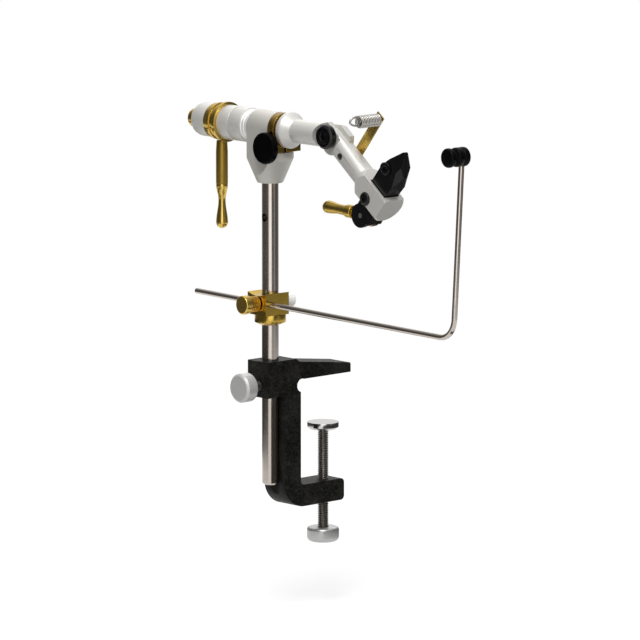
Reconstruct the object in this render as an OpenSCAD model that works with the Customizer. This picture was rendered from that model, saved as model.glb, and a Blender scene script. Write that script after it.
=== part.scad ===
// Rotary fly tying vise on a C-clamp, with a cam jaw, a material clip and a bobbin cradle.
// Origin: where the clamp screw's axis meets the underside of the clamp's upper arm.
// +X points into the table, -Y is the way the jaws reach, +Z is up. Millimetres.

/* [Clamp] */
// Width of the clamp casting
clamp_w = 16.8; // [12:0.1:20]
// Distance from the clamp screw's axis back to the stem's axis
screw_reach = 40.6; // [38:0.1:50]
// How far the upper arm passes the screw's axis
upper_front = 14.6; // [12:0.1:20]
// Thickness of the upper arm at its tip
upper_tip_h = 5.5; // [4:0.1:8]
// Thickness of the upper arm at its root
upper_root_h = 10.3; // [9:0.1:11.5]
// Height of the stem block above the table
block_rise = 12.2; // [12:0.1:18]
// Depth of the stem block below the table top
block_drop = 8.3; // [7.5:0.1:12]
// Metal behind the stem's axis in the stem block
block_back = 9.6; // [8:0.1:14]
// Front of the column, measured from the stem's axis
column_front = 15.7; // [13:0.1:20]
// Opening of the clamp, between its two arms
throat = 60.7; // [50:0.1:75]
// Thickness of the lower arm
lower_h = 12.5; // [9:0.1:16]
// How far the lower arm passes the screw's axis
lower_front = 8.6; // [7:0.1:14]
// Radius of the heel, outside
heel_r = 15.5; // [10:0.1:18]

/* [Clamp screw] */
// Diameter of the clamp screw
screw_d = 6.35; // [5:0.05:8]
// Depth of the pad's top below the table top
pad_depth = 28.2; // [22:0.1:34]
// Diameter of the pad
pad_d = 18; // [14:0.1:22]
// Thickness of the pad
pad_h = 4; // [3.4:0.1:6]
// Diameter of the clamp knob
clamp_knob_d = 18.5; // [14:0.1:26]
// Height of the clamp knob
clamp_knob_h = 8.2; // [6:0.1:14]
// Bare screw between the lower arm and the clamp knob
screw_bare = 15.8; // [12:0.1:22]

/* [Stem and its lock] */
// Diameter of the stem
stem_d = 9.525; // [8:0.005:10]
// Length of the stem below the table top
stem_below = 59.2; // [40:0.1:66]
// Height of the head block's underside above the table
head_h = 113.1; // [100:0.1:130]
// Length of stem inside the head block
stem_in_head = 19.6; // [14:0.1:21]
// Diameter of the stem's cross hole
stem_hole_d = 4.6; // [3:0.1:5.5]
// Height of the stem's cross hole above the table
stem_hole_h = 93.4; // [85:0.1:105]
// Diameter of the stem lock's knob
lock_knob_d = 16.4; // [12:0.1:22]
// Thickness of the stem lock's knob
lock_knob_t = 5.8; // [4:0.1:9]
// Bare stud between the stem lock's knob and the clamp
lock_bare = 9; // [3:0.1:12]
// Diameter of the stem lock's stud
lock_stud_d = 6.2; // [4:0.1:7]
// Depth of the stem lock's axis below the table top
lock_depth = 1.7; // [0:0.1:3]

/* [Bobbin cradle] */
// Height of the collar's underside above the table
collar_h = 32.4; // [31:0.1:50]
// Diameter of the collar
collar_d = 17.7; // [15:0.1:20]
// Thickness of the collar
collar_t = 6; // [5:0.1:9]
// Size of the cradle block along X
cradle_l = 16.6; // [15.5:0.1:20]
// Size of the cradle block along Y
cradle_w = 16.4; // [14:0.1:20]
// Height of the cradle block
cradle_t = 12.6; // [11.5:0.1:16]
// How far the cradle block sits off the stem's axis, away from the table
cradle_shift = 1.5; // [0.5:0.1:2]
// Dip of the saddle in the cradle block's top
saddle_dip = 1.6; // [0.5:0.1:2.5]
// Diameter of the cradle rod
rod_d = 3.175; // [2.5:0.005:4]
// Distance from the stem's axis to the rod's axis
rod_side = 7; // [6.8:0.05:7.2]
// Height of the rod's axis above the cradle block's underside
rod_rise = 6.65; // [5.5:0.05:7.6]
// Length of rod behind the stem
rod_back = 58.4; // [20:0.1:80]
// Distance from the stem's axis forward to the foot of the rod's upright
rod_front = 167.8; // [130:0.1:200]
// Outward lean of the rod's upright
rod_lean = 3.7; // [0:0.1:8]
// Bend radius of the rod
rod_bend = 12; // [8:0.1:20]
// Height of the bobbin rest's axis above the table
rest_h = 145.7; // [110:0.1:160]
// Diameter of the bobbin rest
rest_d = 10.6; // [8:0.1:14]
// Length of the bobbin rest
rest_l = 13.5; // [10:0.1:18]
// How far the rest reaches past the upright, towards the table
rest_past = 2.5; // [2.4:0.1:4]
// Swing of the cradle about the stem, as set
cradle_yaw = -4; // [-12:1:12]

/* [Head block] */
// Diameter of the head block
head_d = 26.5; // [24:0.1:30]
// Diameter of the head block's lower end
head_low_d = 15.8; // [14.5:0.1:18]
// Height of the head block's cone
head_cone_h = 12.5; // [10:0.1:16]
// Height of the rotary axis above the head block's underside
axis_rise = 30.8; // [30.5:0.1:34]
// Diameter of the barrel
barrel_d = 19.1; // [18.5:0.1:21]
// Barrel in front of the stem's axis
barrel_front = 7.7; // [7:0.1:9]
// Barrel behind the stem's axis
barrel_back = 9.6; // [8:0.1:12]
// Diameter of the brake knob
brake_knob_d = 17.8; // [12:0.1:20]
// Thickness of the brake knob
brake_knob_t = 4.4; // [3:0.1:6]
// Depth of the brake screw below the rotary axis
brake_drop = 9.7; // [9.5:0.1:10.5]
// Length of the brake block along the rotary axis
brake_l = 4.8; // [4:0.1:5.5]

/* [Rotary shaft] */
// Diameter of the spindle inside the head
spindle_d = 12.7; // [11:0.1:13]
// Diameter of the shaft in front of the bell
shaft_d = 13.4; // [12:0.1:14]
// Diameter of the bell's rim
bell_d = 20.4; // [18:0.1:24]
// Length of the bell
bell_l = 8; // [6:0.1:10]
// Distance from the stem's axis forward to the bell's rim
bell_front = 14.9; // [13.6:0.1:18]
// Diameter of the rear collar
rear_d = 19.6; // [18:0.1:22]
// Length of the rear collar
rear_l = 19.4; // [14:0.1:26]
// Length of the polished ring ahead of the rear collar
ring_l = 5.4; // [4:0.1:8]
// Length of the tail cap
tail_l = 12.2; // [9:0.1:16]
// Diameter of the tail knob
tail_knob_d = 10.4; // [7:0.1:13]
// Length of the tail knob
tail_knob_l = 6.2; // [4.5:0.1:8]

/* [Crank] */
// Length of the crank ring
crank_ring_l = 10.6; // [9:0.1:14]
// Diameter of the crank ring's flange
crank_flange_d = 22.8; // [21:0.1:26]
// Distance from the rotary axis down to the handle's end
crank_r = 61.1; // [45:0.1:75]
// Length of the handle's plain sleeve
sleeve_l = 24.8; // [15:0.1:28]
// Diameter of the handle's sleeve
sleeve_d = 6.8; // [5:0.1:7.6]
// Diameter of the handle's neck
crank_neck_d = 4.1; // [3.2:0.1:5]

/* [Knuckle and arm] */
// Distance from the stem's axis forward to the knuckle's axis
knuckle_front = 51.7; // [48:0.1:60]
// Droop of the arm below the rotary axis, as set
arm_droop = 38.6; // [20:0.1:50]
// Diameter of the arm
arm_d = 12.8; // [11:0.1:13.2]
// Distance from the knuckle's axis to the jaw block
arm_l = 36.5; // [34:0.1:44]
// Diameter of the knuckle's knob
knuckle_knob_d = 13.6; // [10:0.1:14.6]
// Thickness of the knuckle's knob
knuckle_knob_t = 4.2; // [3:0.1:6]
// Thickness of the arm's ear
ear_t = 3.6; // [2.6:0.1:4.5]
// Diameter of the jaw block
jaw_block_d = 19.6; // [19:0.1:24]
// Length of the jaw block
jaw_block_l = 21.7; // [20:0.1:26]

/* [Jaws] */
// Width of a jaw where it passes the jaw block
jaw_w = 13.5; // [12:0.1:14.5]
// Distance from the jaw block's root to the jaws' middle
jaw_in_block = 11.5; // [11.1:0.1:12.1]
// Height of the jaws' tip above the arm's axis
jaw_tip_h = 33.4; // [28:0.1:40]
// Thickness of both jaws together
jaw_t = 10.3; // [8:0.1:10.6]
// Radius of the lugs round the cam's pin
lug_r = 6.8; // [5.5:0.1:7.2]
// Depth of the cam's pin below the arm's axis
cam_drop = 15.5; // [15:0.1:20]
// Length of the cam lever from its pin to its end
lever_l = 34; // [28:0.1:45]
// Diameter of the cam lever's bulb
lever_d = 7.2; // [5:0.1:9]

/* [Material clip] */
// Width of the clip's strip
strip_w = 6.2; // [5:0.1:8]
// Thickness of the clip's strip
strip_t = 0.7; // [0.5:0.1:1]
// Height of the strip's end above the arm's axis
strip_h = 30.1; // [24:0.1:40]
// Outer diameter of the clip's spring
spring_d = 6.8; // [5:0.1:8]
// Diameter of the spring's wire
wire_d = 0.7; // [0.5:0.05:0.9]
// Number of the spring's curls
spring_curls = 12; // [6:1:16]

/* [Hidden] */
$fn = 72;

// Small sizes shared by many pieces
over = 1;            // overrun of every cut
fit = 0.03;          // running clearance of a shaft in its hole, on the radius
air = 0.3;           // gap between pieces on different bodies
touch = 0.1;         // gap between pieces that bear on each other
chamfer = 0.6;       // common edge break
half = 0.5;

// Places of the main axes
axis_h = head_h + axis_rise;
stem_r = stem_d / 2;
wire_r = wire_d / 2;

module on_stem() {
  translate([-screw_reach, 0, 0]) children();
}

module on_axis() {
  on_stem() translate([0, 0, axis_h]) children();
}

// Children are drawn with Z along the rotary axis, towards the crank
module along_axis(back) {
  on_axis() translate([0, back, 0]) rotate([-90, 0, 0]) children();
}

// Children are drawn in the arm's frame: X as on the vise, Y up off the arm, Z along the arm
module on_arm() {
  on_axis() translate([0, -knuckle_front, 0]) rotate([90 + arm_droop, 0, 0]) children();
}

// Children are drawn with Z along +X
module along_x() {
  rotate([0, 90, 0]) children();
}

// A flat outline in the YZ plane, as thick as t, starting at x
module plate_x(x, t) {
  translate([x, 0, 0]) rotate([90, 0, 90]) linear_extrude(height = t) children();
}

module ring(outer_r, inner_r, t) {
  difference() {
    cylinder(r = outer_r, h = t);
    translate([0, 0, -over]) cylinder(r = inner_r, h = t + 2 * over);
  }
}

// A disc whose two rims are rounded by arcs
module round_disc(r, t, edge_r) {
  rotate_extrude() disc_outline(r, t, edge_r);
}

module disc_outline(r, t, edge_r) {
  square([r - edge_r, t]);
  translate([0, edge_r]) square([r, t - 2 * edge_r]);
  translate([r - edge_r, edge_r]) circle(r = edge_r, $fn = 32);
  translate([r - edge_r, t - edge_r]) circle(r = edge_r, $fn = 32);
}

// Clamp casting
channel_r = stem_r + air;
column_back = 2.8;
riser_run = 2.8;
arm_bare = 28.6;
riser_top = screw_reach - arm_bare;
relief_r = 3.8;
relief_step = 1;
relief_bite = 0.3;
relief_x = column_front + relief_step;
corner_r = 2.5;
tip_r = 1.5;
fillet_r = 2.5;
thread_fit = 0.05;

module clamp_profile() {
  bottom = -throat - lower_h;
  arm_end = screw_reach + upper_front;
  foot_end = screw_reach + lower_front;
  difference() {
    polygon([[-block_back, -block_drop], [-block_back, block_rise], [riser_top, block_rise],
      [riser_top + riser_run, upper_root_h], [arm_end - tip_r, upper_tip_h], [arm_end, upper_tip_h - tip_r],
      [arm_end, 0], [column_front, 0], [column_front, fillet_r - throat],
      [column_front + fillet_r, fillet_r - throat], [column_front + fillet_r, -throat],
      [foot_end, -throat], [foot_end, bottom], [column_back, bottom], [column_back, -block_drop]]);
    translate([relief_x, relief_bite - relief_r]) circle(r = relief_r);
    translate([column_front + fillet_r, fillet_r - throat]) circle(r = fillet_r);
    profile_corner(column_back, bottom, heel_r, 1, 1);
    profile_corner(foot_end, bottom, corner_r, -1, 1);
    profile_corner(foot_end, -throat, corner_r, -1, -1);
  }
}

// What lies outside a rounded corner of the profile; across and up point into the metal
module profile_corner(x, z, r, across, up) {
  translate([x, z]) mirror([across < 0 ? 1 : 0, 0]) mirror([0, up < 0 ? 1 : 0]) difference() {
    translate([-over, -over]) square([r + over, r + over]);
    translate([r, r]) circle(r = r);
  }
}

module clamp_frame() {
  corner = 1.6;
  color("dimgray") on_stem() difference() {
    translate([0, clamp_w / 2, 0]) rotate([90, 0, 0]) linear_extrude(height = clamp_w) clamp_profile();
    translate([0, 0, -block_drop - over])
      cylinder(r = stem_r + fit, h = block_drop + block_rise + 2 * over);
    translate([0, 0, -throat - lower_h - over])
      cylinder(r = channel_r, h = throat + lower_h - block_drop + over);
    translate([screw_reach, 0, -throat - lower_h - over])
      cylinder(r = screw_d / 2 + thread_fit, h = lower_h + 2 * over);
    translate([-block_back - over, 0, -lock_depth]) along_x()
      cylinder(r = lock_stud_d / 2 + thread_fit, h = block_back + over);
    for (side = [-1, 1])
      translate([screw_reach + upper_front - corner, side * (clamp_w / 2 - corner), -over])
        corner_cut(corner, side, upper_tip_h + upper_root_h);
  }
}

// Removes what lies outside a rounded vertical edge at +X and on one side of Y
module corner_cut(r, side, h) {
  difference() {
    translate([0, side > 0 ? 0 : -r - over, 0]) cube([r + over, r + over, h]);
    translate([0, 0, -over]) cylinder(r = r, h = h + 2 * over);
  }
}

// Clamp screw, its pad and its knob
pad_top = -pad_depth;
pad_low = pad_top - pad_h;
pad_air = 0.5;
neck_h = 1.3;
neck_r = 1.8;
ball_r = 2.6;
ball_h = 1.2;
knob_top = -throat - lower_h - screw_bare;
knob_low = knob_top - clamp_knob_h;
knob_edge_r = 1.3;
socket_r = ball_r + pad_air;
socket_h = 2.9;
screw_end = pad_low - pad_air;
retainer_h = 0.9;

module clamp_screw() {
  color("gainsboro") {
    translate([0, 0, knob_low + chamfer]) cylinder(r = screw_d / 2, h = screw_end - knob_low - chamfer);
    translate([0, 0, screw_end - fit]) cylinder(r = neck_r, h = neck_h + pad_air + 2 * fit);
    translate([0, 0, pad_low + neck_h]) cylinder(r = ball_r, h = ball_h);
  }
}

module clamp_knob() {
  color("silver") translate([0, 0, knob_low]) difference() {
    round_disc(clamp_knob_d / 2, clamp_knob_h, knob_edge_r);
    translate([0, 0, chamfer]) cylinder(r = screw_d / 2 + fit, h = clamp_knob_h + over);
  }
}

module clamp_pad() {
  rim = 1.2;
  color("gainsboro") translate([0, 0, pad_low]) difference() {
    union() {
      cylinder(r1 = pad_d / 2 - rim, r2 = pad_d / 2, h = rim);
      translate([0, 0, rim]) cylinder(r = pad_d / 2, h = pad_h - rim);
    }
    translate([0, 0, -over]) cylinder(r = socket_r, h = socket_h + over);
  }
}

module pad_retainer() {
  color("gray") translate([0, 0, pad_low]) ring(socket_r - fit, neck_r + pad_air - fit, retainer_h);
}

// Stem and its lock
lock_z = -lock_depth;
lock_tip = -stem_r - touch;
lock_knob_x = -block_back - lock_bare;

module stem() {
  top = head_h + stem_in_head;
  edge = 1;
  color("dimgray") on_stem() difference() {
    union() {
      translate([0, 0, -stem_below]) cylinder(r1 = stem_r - edge, r2 = stem_r, h = edge);
      translate([0, 0, edge - stem_below]) cylinder(r = stem_r, h = top + stem_below - edge);
    }
    translate([-stem_r - over, 0, stem_hole_h]) along_x()
      cylinder(d = stem_hole_d, h = stem_d + 2 * over);
  }
}

module stem_lock_stud() {
  color("silver") on_stem() translate([lock_knob_x - lock_knob_t / 2, 0, lock_z]) along_x()
    cylinder(r = lock_stud_d / 2, h = lock_tip - lock_knob_x + lock_knob_t / 2);
}

module stem_lock_knob() {
  bevel = 1.4;
  r = lock_knob_d / 2;
  color("silver") on_stem() translate([lock_knob_x, 0, lock_z]) rotate([0, -90, 0]) difference() {
    union() {
      cylinder(r1 = r - chamfer, r2 = r, h = chamfer);
      translate([0, 0, chamfer]) cylinder(r = r, h = lock_knob_t - chamfer - bevel);
      translate([0, 0, lock_knob_t - bevel]) cylinder(r1 = r, r2 = r - bevel, h = bevel);
    }
    translate([0, 0, -over]) cylinder(r = lock_stud_d / 2 + fit, h = over + lock_knob_t / 2 + fit);
  }
}

// Bobbin cradle, drawn in its own frame, turned about the stem
module in_cradle() {
  on_stem() rotate([0, 0, cradle_yaw]) children();
}

cradle_low = collar_h + collar_t + touch;
rod_h = cradle_low + rod_rise;
cradle_x = -cradle_shift - cradle_l / 2;
rod_r = rod_d / 2;
collar_edge = 3;
set_r = 1.5;

module cradle_collar() {
  color("goldenrod") on_stem() translate([0, 0, collar_h]) difference() {
    union() {
      cylinder(r1 = collar_d / 2 - collar_edge, r2 = collar_d / 2, h = collar_edge * half);
      translate([0, 0, collar_edge * half]) cylinder(d = collar_d, h = collar_t - collar_edge * half);
    }
    translate([0, 0, -over]) cylinder(r = stem_r + fit, h = collar_t + 2 * over);
    translate([0, 0, collar_t - 2 * set_r]) along_x() cylinder(r = set_r + fit, h = collar_d);
  }
}

module collar_set_screw() {
  color("black") on_stem() translate([stem_r + fit, 0, collar_h + collar_t - 2 * set_r]) along_x()
    cylinder(r = set_r, h = collar_d / 2 - stem_r - chamfer);
}

cradle_thread_r = 2.4;
nylon_r = 4.15;
nylon_thread_r = 2.4;
nylon_l = 8.4;

module cradle_block() {
  saddle_r = (cradle_w * cradle_w / 4 + saddle_dip * saddle_dip) / (2 * saddle_dip);
  color("goldenrod") in_cradle() translate([0, 0, cradle_low]) difference() {
    translate([cradle_x, -cradle_w / 2, 0]) cube([cradle_l, cradle_w, cradle_t]);
    translate([0, 0, -over]) cylinder(r = stem_r + fit, h = cradle_t + 2 * over);
    translate([-rod_side, cradle_w / 2 + over, rod_h - cradle_low]) rotate([90, 0, 0])
      cylinder(r = rod_r + fit, h = cradle_w + 2 * over);
    translate([cradle_x - over, 0, cradle_t + saddle_r - saddle_dip]) along_x()
      cylinder(r = saddle_r, h = cradle_l + 2 * over, $fn = 180);
    translate([cradle_x - over, 0, rod_h - cradle_low]) along_x()
      cylinder(r = cradle_thread_r + thread_fit, h = over - cradle_x - rod_side);
    translate([0, 0, rod_h - cradle_low]) along_x()
      cylinder(r = nylon_thread_r + thread_fit, h = cradle_l);
  }
}

thumb_d = 10.6;
thumb_l = 5;
shank_r = 4.5;
shank_l = 5.4;
shank_gap = 0.6;
rod_touch = 0.05;

module cradle_stud() {
  tip = -rod_side - rod_r - rod_touch;
  foot = cradle_x - shank_gap - shank_l;
  color("goldenrod") in_cradle() translate([foot, 0, rod_h]) along_x()
    cylinder(r = cradle_thread_r, h = tip - foot);
}

module cradle_knob() {
  start = cradle_x - shank_gap;
  groove = 0.5;
  color("goldenrod") in_cradle() translate([start, 0, rod_h]) rotate([0, -90, 0]) difference() {
    union() {
      cylinder(r = shank_r, h = shank_l);
      translate([0, 0, shank_l - fit]) round_disc(thumb_d / 2, thumb_l, chamfer);
    }
    translate([0, 0, -over]) cylinder(r = cradle_thread_r + fit, h = shank_l + over + fit);
    for (k = [1:3])
      translate([0, 0, shank_l * k / 4 - groove / 2]) ring(shank_r + over, shank_r - groove, groove);
  }
}

nylon_start = cradle_x + cradle_l + air;

module nylon_stud() {
  color("white") in_cradle() translate([stem_r + touch, 0, rod_h]) along_x()
    cylinder(r = nylon_thread_r, h = nylon_start - stem_r - touch + nylon_l / 2);
}

module nylon_knob() {
  color("white") in_cradle() translate([nylon_start, 0, rod_h]) along_x() difference() {
    round_disc(nylon_r, nylon_l, chamfer);
    translate([0, 0, -over]) cylinder(r = nylon_thread_r + fit, h = over + nylon_l / 2 + fit);
  }
}

rest_seat = 1;
bend_thin = 0.01;    // the rod is drawn out this much thinner where it is bent
rest_z = rest_h - rest_seat;

module cradle_rod() {
  turn = 90 - rod_lean;
  color("silver") in_cradle() translate([-rod_side, 0, rod_h]) {
    translate([0, rod_back, 0]) rotate([90, 0, 0]) cylinder(r = rod_r, h = rod_back + bend_start() + air);
    translate([0, -bend_start(), rod_bend]) rotate([0, 90, 180]) {
      rotate_extrude(angle = turn) translate([rod_bend, 0]) circle(r = rod_r - bend_thin, $fn = 32);
      rotate([0, 0, turn]) translate([rod_bend, -air, 0]) rotate([-90, 0, 0])
        cylinder(r = rod_r, h = upright_l() + air);
    }
  }
}

// Where the bend starts, so that the upright's line meets the rod's line at rod_front
function bend_start() = rod_front - rod_bend * tan((90 - rod_lean) / 2);
// Length of the straight upright above the bend
function upright_l() = (rest_z - rod_h - rod_bend * (1 - cos(90 - rod_lean))) / cos(rod_lean);
// Y of the upright's top
function upright_y() = -rod_front - (rest_z - rod_h) * tan(rod_lean);

module bobbin_rest() {
  r = rest_d / 2;
  neck = 3.2;
  flange = 3.4;
  v = 1.9;
  waist = 0.5;
  hub = rest_l - flange - v;
  color("black") in_cradle() difference() {
    translate([rest_past - rod_side, upright_y(), rest_h]) rotate([0, -90, 0]) rotate_extrude()
      polygon([[0, 0], [r - chamfer, 0], [r, chamfer], [r, hub * 0.42], [r - waist, hub * 0.48],
        [r, hub * 0.54], [r, hub - chamfer], [r - chamfer, hub], [neck, hub + v / 2],
        [r - chamfer, hub + v], [r, hub + v + chamfer], [r, rest_l - chamfer], [r - chamfer, rest_l],
        [0, rest_l]]);
    translate([-rod_side, upright_y(), rest_z]) rotate([180 + rod_lean, 0, 0])
      translate([0, 0, -air]) cylinder(r = rod_r + fit, h = rest_d);
  }
}

// Head block: turned foot, neck and barrel in one casting
head_r = head_d / 2;
head_edge = 1.4;
ledge_rise = 3.8;
ledge_h = head_h + head_edge + head_cone_h + ledge_rise;
flat_dip = 0.15;
flat_x = -barrel_d / 2 + flat_dip;
bush_r = 7.95;
bush_wall_gap = 0.01;
spindle_r = spindle_d / 2;
head_set_r = 2.5;
head_set_rise = 7;
head_set_h = head_h + head_set_rise;

module head_block() {
  low_r = head_low_d / 2;
  color("silver") on_stem() difference() {
    union() {
      intersection() {
        rotate_extrude() polygon([[0, head_h], [low_r - head_edge * half, head_h],
          [low_r, head_h + head_edge], [head_r, head_h + head_edge + head_cone_h], [head_r, ledge_h],
          [0, ledge_h]]);
        translate([flat_x, -head_d, head_h - over]) cube([head_d * 2, head_d * 2, head_d + axis_rise]);
      }
      intersection() {
        translate([0, 0, ledge_h - over]) cylinder(r = head_r, h = axis_h - ledge_h + over);
        translate([flat_x, -barrel_front, ledge_h - over])
          cube([-2 * flat_x, barrel_front + barrel_back, axis_h - ledge_h + over]);
      }
      translate([0, barrel_back, axis_h]) rotate([90, 0, 0])
        cylinder(d = barrel_d, h = barrel_front + barrel_back);
    }
    translate([0, barrel_back + over, axis_h]) rotate([90, 0, 0])
      cylinder(r = bush_r + bush_wall_gap, h = barrel_front + barrel_back + 2 * over);
    translate([0, 0, head_h - over]) cylinder(r = stem_r + fit, h = stem_in_head + over + fit);
    translate([0, 0, head_set_h]) along_x() cylinder(r = head_set_r + fit, h = head_d);
  }
}

module head_set_screw() {
  color("black") on_stem() translate([stem_r + fit, 0, head_set_h]) along_x()
    cylinder(r = head_set_r, h = head_low_d / 2 - stem_r);
}

bush_l = 8.2;

module front_bush() {
  color("peru") along_axis(-barrel_front) ring(bush_r, spindle_r + fit, bush_l);
}

module rear_bush() {
  color("peru") along_axis(barrel_back - bush_l) ring(bush_r, spindle_r + fit, bush_l);
}

// Brass brake block that the knob draws round the spindle
brake_air = 0.15;
brake_back = -barrel_front - brake_air;
brake_near = -9.9;
brake_far = 11.7;
brake_float = 0.2;
brake_low = ledge_h - axis_h + brake_float;
brake_r = 9.5;
brake_slit = 1.6;
brake_hole_r = 1.6;
brake_mid = brake_back - brake_l * 0.4;
brake_knob_x = -10.3;

module brake_block() {
  ear_top = -6;
  color("goldenrod") on_axis() difference() {
    union() {
      translate([0, brake_back, 0]) rotate([90, 0, 0]) cylinder(r = brake_r, h = brake_l);
      translate([brake_near, brake_back - brake_l, brake_low])
        cube([brake_far - brake_near, brake_l, ear_top - brake_low]);
    }
    translate([0, brake_back + over, 0]) rotate([90, 0, 0])
      cylinder(r = spindle_r + fit, h = brake_l + 2 * over);
    translate([-brake_slit / 2, brake_back - brake_l - over, brake_low - over])
      cube([brake_slit, brake_l + 2 * over, -brake_low + over]);
    translate([brake_near - over, brake_mid, -brake_drop]) along_x()
      cylinder(r = brake_hole_r + thread_fit, h = brake_far - brake_near + 2 * over);
  }
}

module brake_stud() {
  color("silver") on_axis() translate([brake_knob_x - brake_knob_t / 2, brake_mid, -brake_drop]) along_x()
    cylinder(r = brake_hole_r, h = brake_far - brake_knob_x + brake_knob_t / 2 - chamfer);
}

module brake_knob() {
  edge_r = 1.3;
  color("black") on_axis() translate([brake_knob_x, brake_mid, -brake_drop]) rotate([0, -90, 0])
    difference() {
      round_disc(brake_knob_d / 2, brake_knob_t, edge_r);
      translate([0, 0, -over]) cylinder(r = brake_hole_r + fit, h = over + brake_knob_t / 2 + fit);
    }
}

// Spindle: rear journal, bell, front shaft and the tongue of the knuckle
ring_back = barrel_back + air;
rear_back = ring_back + ring_l + fit;
crank_back = rear_back + rear_l + fit;
cap_back = crank_back + crank_ring_l + fit;
tail_back = cap_back + tail_l;
shoulder_r = 9.8;
tongue_r = 13.1;
tongue_top = 8.9;
tongue_t = 3.6;
lap = 0.05;
stud_r = 2.5;
tail_stud_r = 2;

module spindle() {
  shaft_r = shaft_d / 2;
  front = knuckle_front + tongue_r;
  rear_end = cap_back + tail_l / 2;
  color("silver") difference() {
    union() {
      along_axis(-front) cylinder(r = shaft_r, h = front - bell_front - bell_l + over);
      along_axis(-bell_front - bell_l) rotate_extrude() bell_outline(shaft_r);
      along_axis(-bell_front - fit) cylinder(r = spindle_r, h = bell_front + rear_end);
    }
    on_axis() translate([-shaft_r - over, -knuckle_front, 0]) along_x()
      cylinder(r = shoulder_r, h = shaft_r + over + lap);
    on_axis() translate([-shaft_r - over, -front - over, -shaft_d])
      cube([shaft_r + over + lap, tongue_r + over, 2 * shaft_d]);
    // far side milled flat
    on_axis() translate([tongue_t, -knuckle_front, 0]) along_x() cylinder(r = shoulder_r, h = shaft_r);
    on_axis() translate([tongue_t, -front - over, -shaft_d]) cube([shaft_r, tongue_r + over, 2 * shaft_d]);
    on_axis() translate([0, -knuckle_front, 0]) plate_x(-shaft_r - over, shaft_d + 2 * over)
      difference() {
        translate([-2 * shaft_d, -shaft_d]) square([2 * shaft_d, 2 * shaft_d]);
        circle(r = tongue_r);
      }
    on_arm() translate([-shaft_r - over, tongue_top, -shaft_d])
      cube([shaft_d + 2 * over, shaft_d, 3 * shaft_d]);
    on_axis() translate([-over, -knuckle_front, 0]) along_x()
      cylinder(r = stud_r + thread_fit, h = shaft_d);
    along_axis(cap_back - tail_l / 2) cylinder(r = tail_stud_r + thread_fit, h = 2 * tail_l);
  }
}

// Outline of the bell, from the shaft's end to its rim
module bell_outline(shaft_r) {
  rim = 1.6;
  neck = 1.4;
  flare_r = 5.9;
  flare_out = 5.2;
  flare_ahead = 1.2;
  difference() {
    polygon([[0, 0], [shaft_r, 0], [bell_d / 2, bell_l - rim - neck], [bell_d / 2, bell_l - rim * 0.4],
      [bell_d / 2 - rim * 0.4, bell_l], [0, bell_l]]);
    translate([bell_d / 2 + flare_out, -flare_ahead]) circle(r = flare_r);
  }
}

module polished_ring() {
  r = barrel_d / 2 - touch;
  groove_shares = [0.3, 0.72];
  groove_r = 1.1;
  groove_out = 0.6;
  color("white") along_axis(ring_back) difference() {
    ring(r, spindle_r + fit, ring_l);
    for (share = groove_shares)
      translate([0, 0, ring_l * share]) rotate_extrude()
        translate([r + groove_out, 0]) circle(r = groove_r, $fn = 32);
  }
}

rear_set_r = 2;
rear_set_share = 0.75;

module rear_collar() {
  r = rear_d / 2;
  groove = 0.4;
  color("silver") along_axis(rear_back) difference() {
    ring(r, spindle_r + fit, rear_l);
    translate([0, 0, rear_l * half]) ring(r + over, r - groove, groove);
    translate([0, 0, rear_l * rear_set_share]) rotate([0, 90, 0])
      cylinder(r = rear_set_r + fit, h = rear_d);
  }
}

module rear_set_screw() {
  color("black") along_axis(rear_back) translate([spindle_r + fit, 0, rear_l * rear_set_share])
    rotate([0, 90, 0]) cylinder(r = rear_set_r, h = rear_d / 2 - spindle_r - chamfer);
}

// Crank ring with its handle hanging down
handle_share = 0.53;
handle_back = crank_back + crank_ring_l * handle_share;
crank_pin_r = 1.6;
band_r = 10;

module crank_ring() {
  flange_t = 2;
  color("goldenrod") difference() {
    along_axis(crank_back) {
      ring(crank_flange_d / 2, spindle_r + fit, flange_t);
      translate([0, 0, flange_t - fit]) ring(band_r, spindle_r + fit, crank_ring_l - flange_t + fit);
      translate([0, 0, crank_ring_l * 0.55]) ring(band_r + chamfer, spindle_r + fit, flange_t);
    }
    on_axis() translate([0, handle_back, -crank_flange_d])
      cylinder(r = crank_pin_r + fit, h = crank_flange_d);
  }
}

handle_drop = 0.9;
handle_top = -band_r - handle_drop;
pin_in_grip = 8;

module crank_pin() {
  pin_low = handle_top - sleeve_l - pin_in_grip;
  color("silver") on_axis() translate([0, handle_back, pin_low])
    cylinder(r = crank_pin_r, h = -spindle_r - fit - pin_low);
}

module crank_sleeve() {
  taper = 0.35;
  plain_share = 0.75;
  color("goldenrod") on_axis() translate([0, handle_back, handle_top - sleeve_l]) difference() {
    union() {
      cylinder(r = sleeve_d / 2, h = sleeve_l * plain_share);
      translate([0, 0, sleeve_l * plain_share])
        cylinder(r1 = sleeve_d / 2, r2 = sleeve_d / 2 - taper, h = sleeve_l * (1 - plain_share));
    }
    translate([0, 0, -over]) cylinder(r = crank_pin_r + fit, h = sleeve_l + 2 * over);
  }
}

// A grip of revolution whose outline blends from a foot through a waist to a ball
module grip(foot_r, waist_r, ball_radius, length) {
  waist_share = 0.42;
  ball_z = length - ball_radius;
  steps = 24;
  rotate_extrude() polygon(concat([[0, 0]],
    [for (i = [0:steps]) let (t = i / steps)
      [t < waist_share
        ? waist_r + (foot_r - waist_r) * (1 + cos(180 * t / waist_share)) / 2
        : waist_r + (ball_radius - waist_r) * (1 - cos(180 * (t - waist_share) / (1 - waist_share))) / 2,
        t * ball_z]],
    [for (i = [1:8]) let (w = 90 * i / 8) [ball_radius * cos(w), ball_z + ball_radius * sin(w)]]));
}

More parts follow.
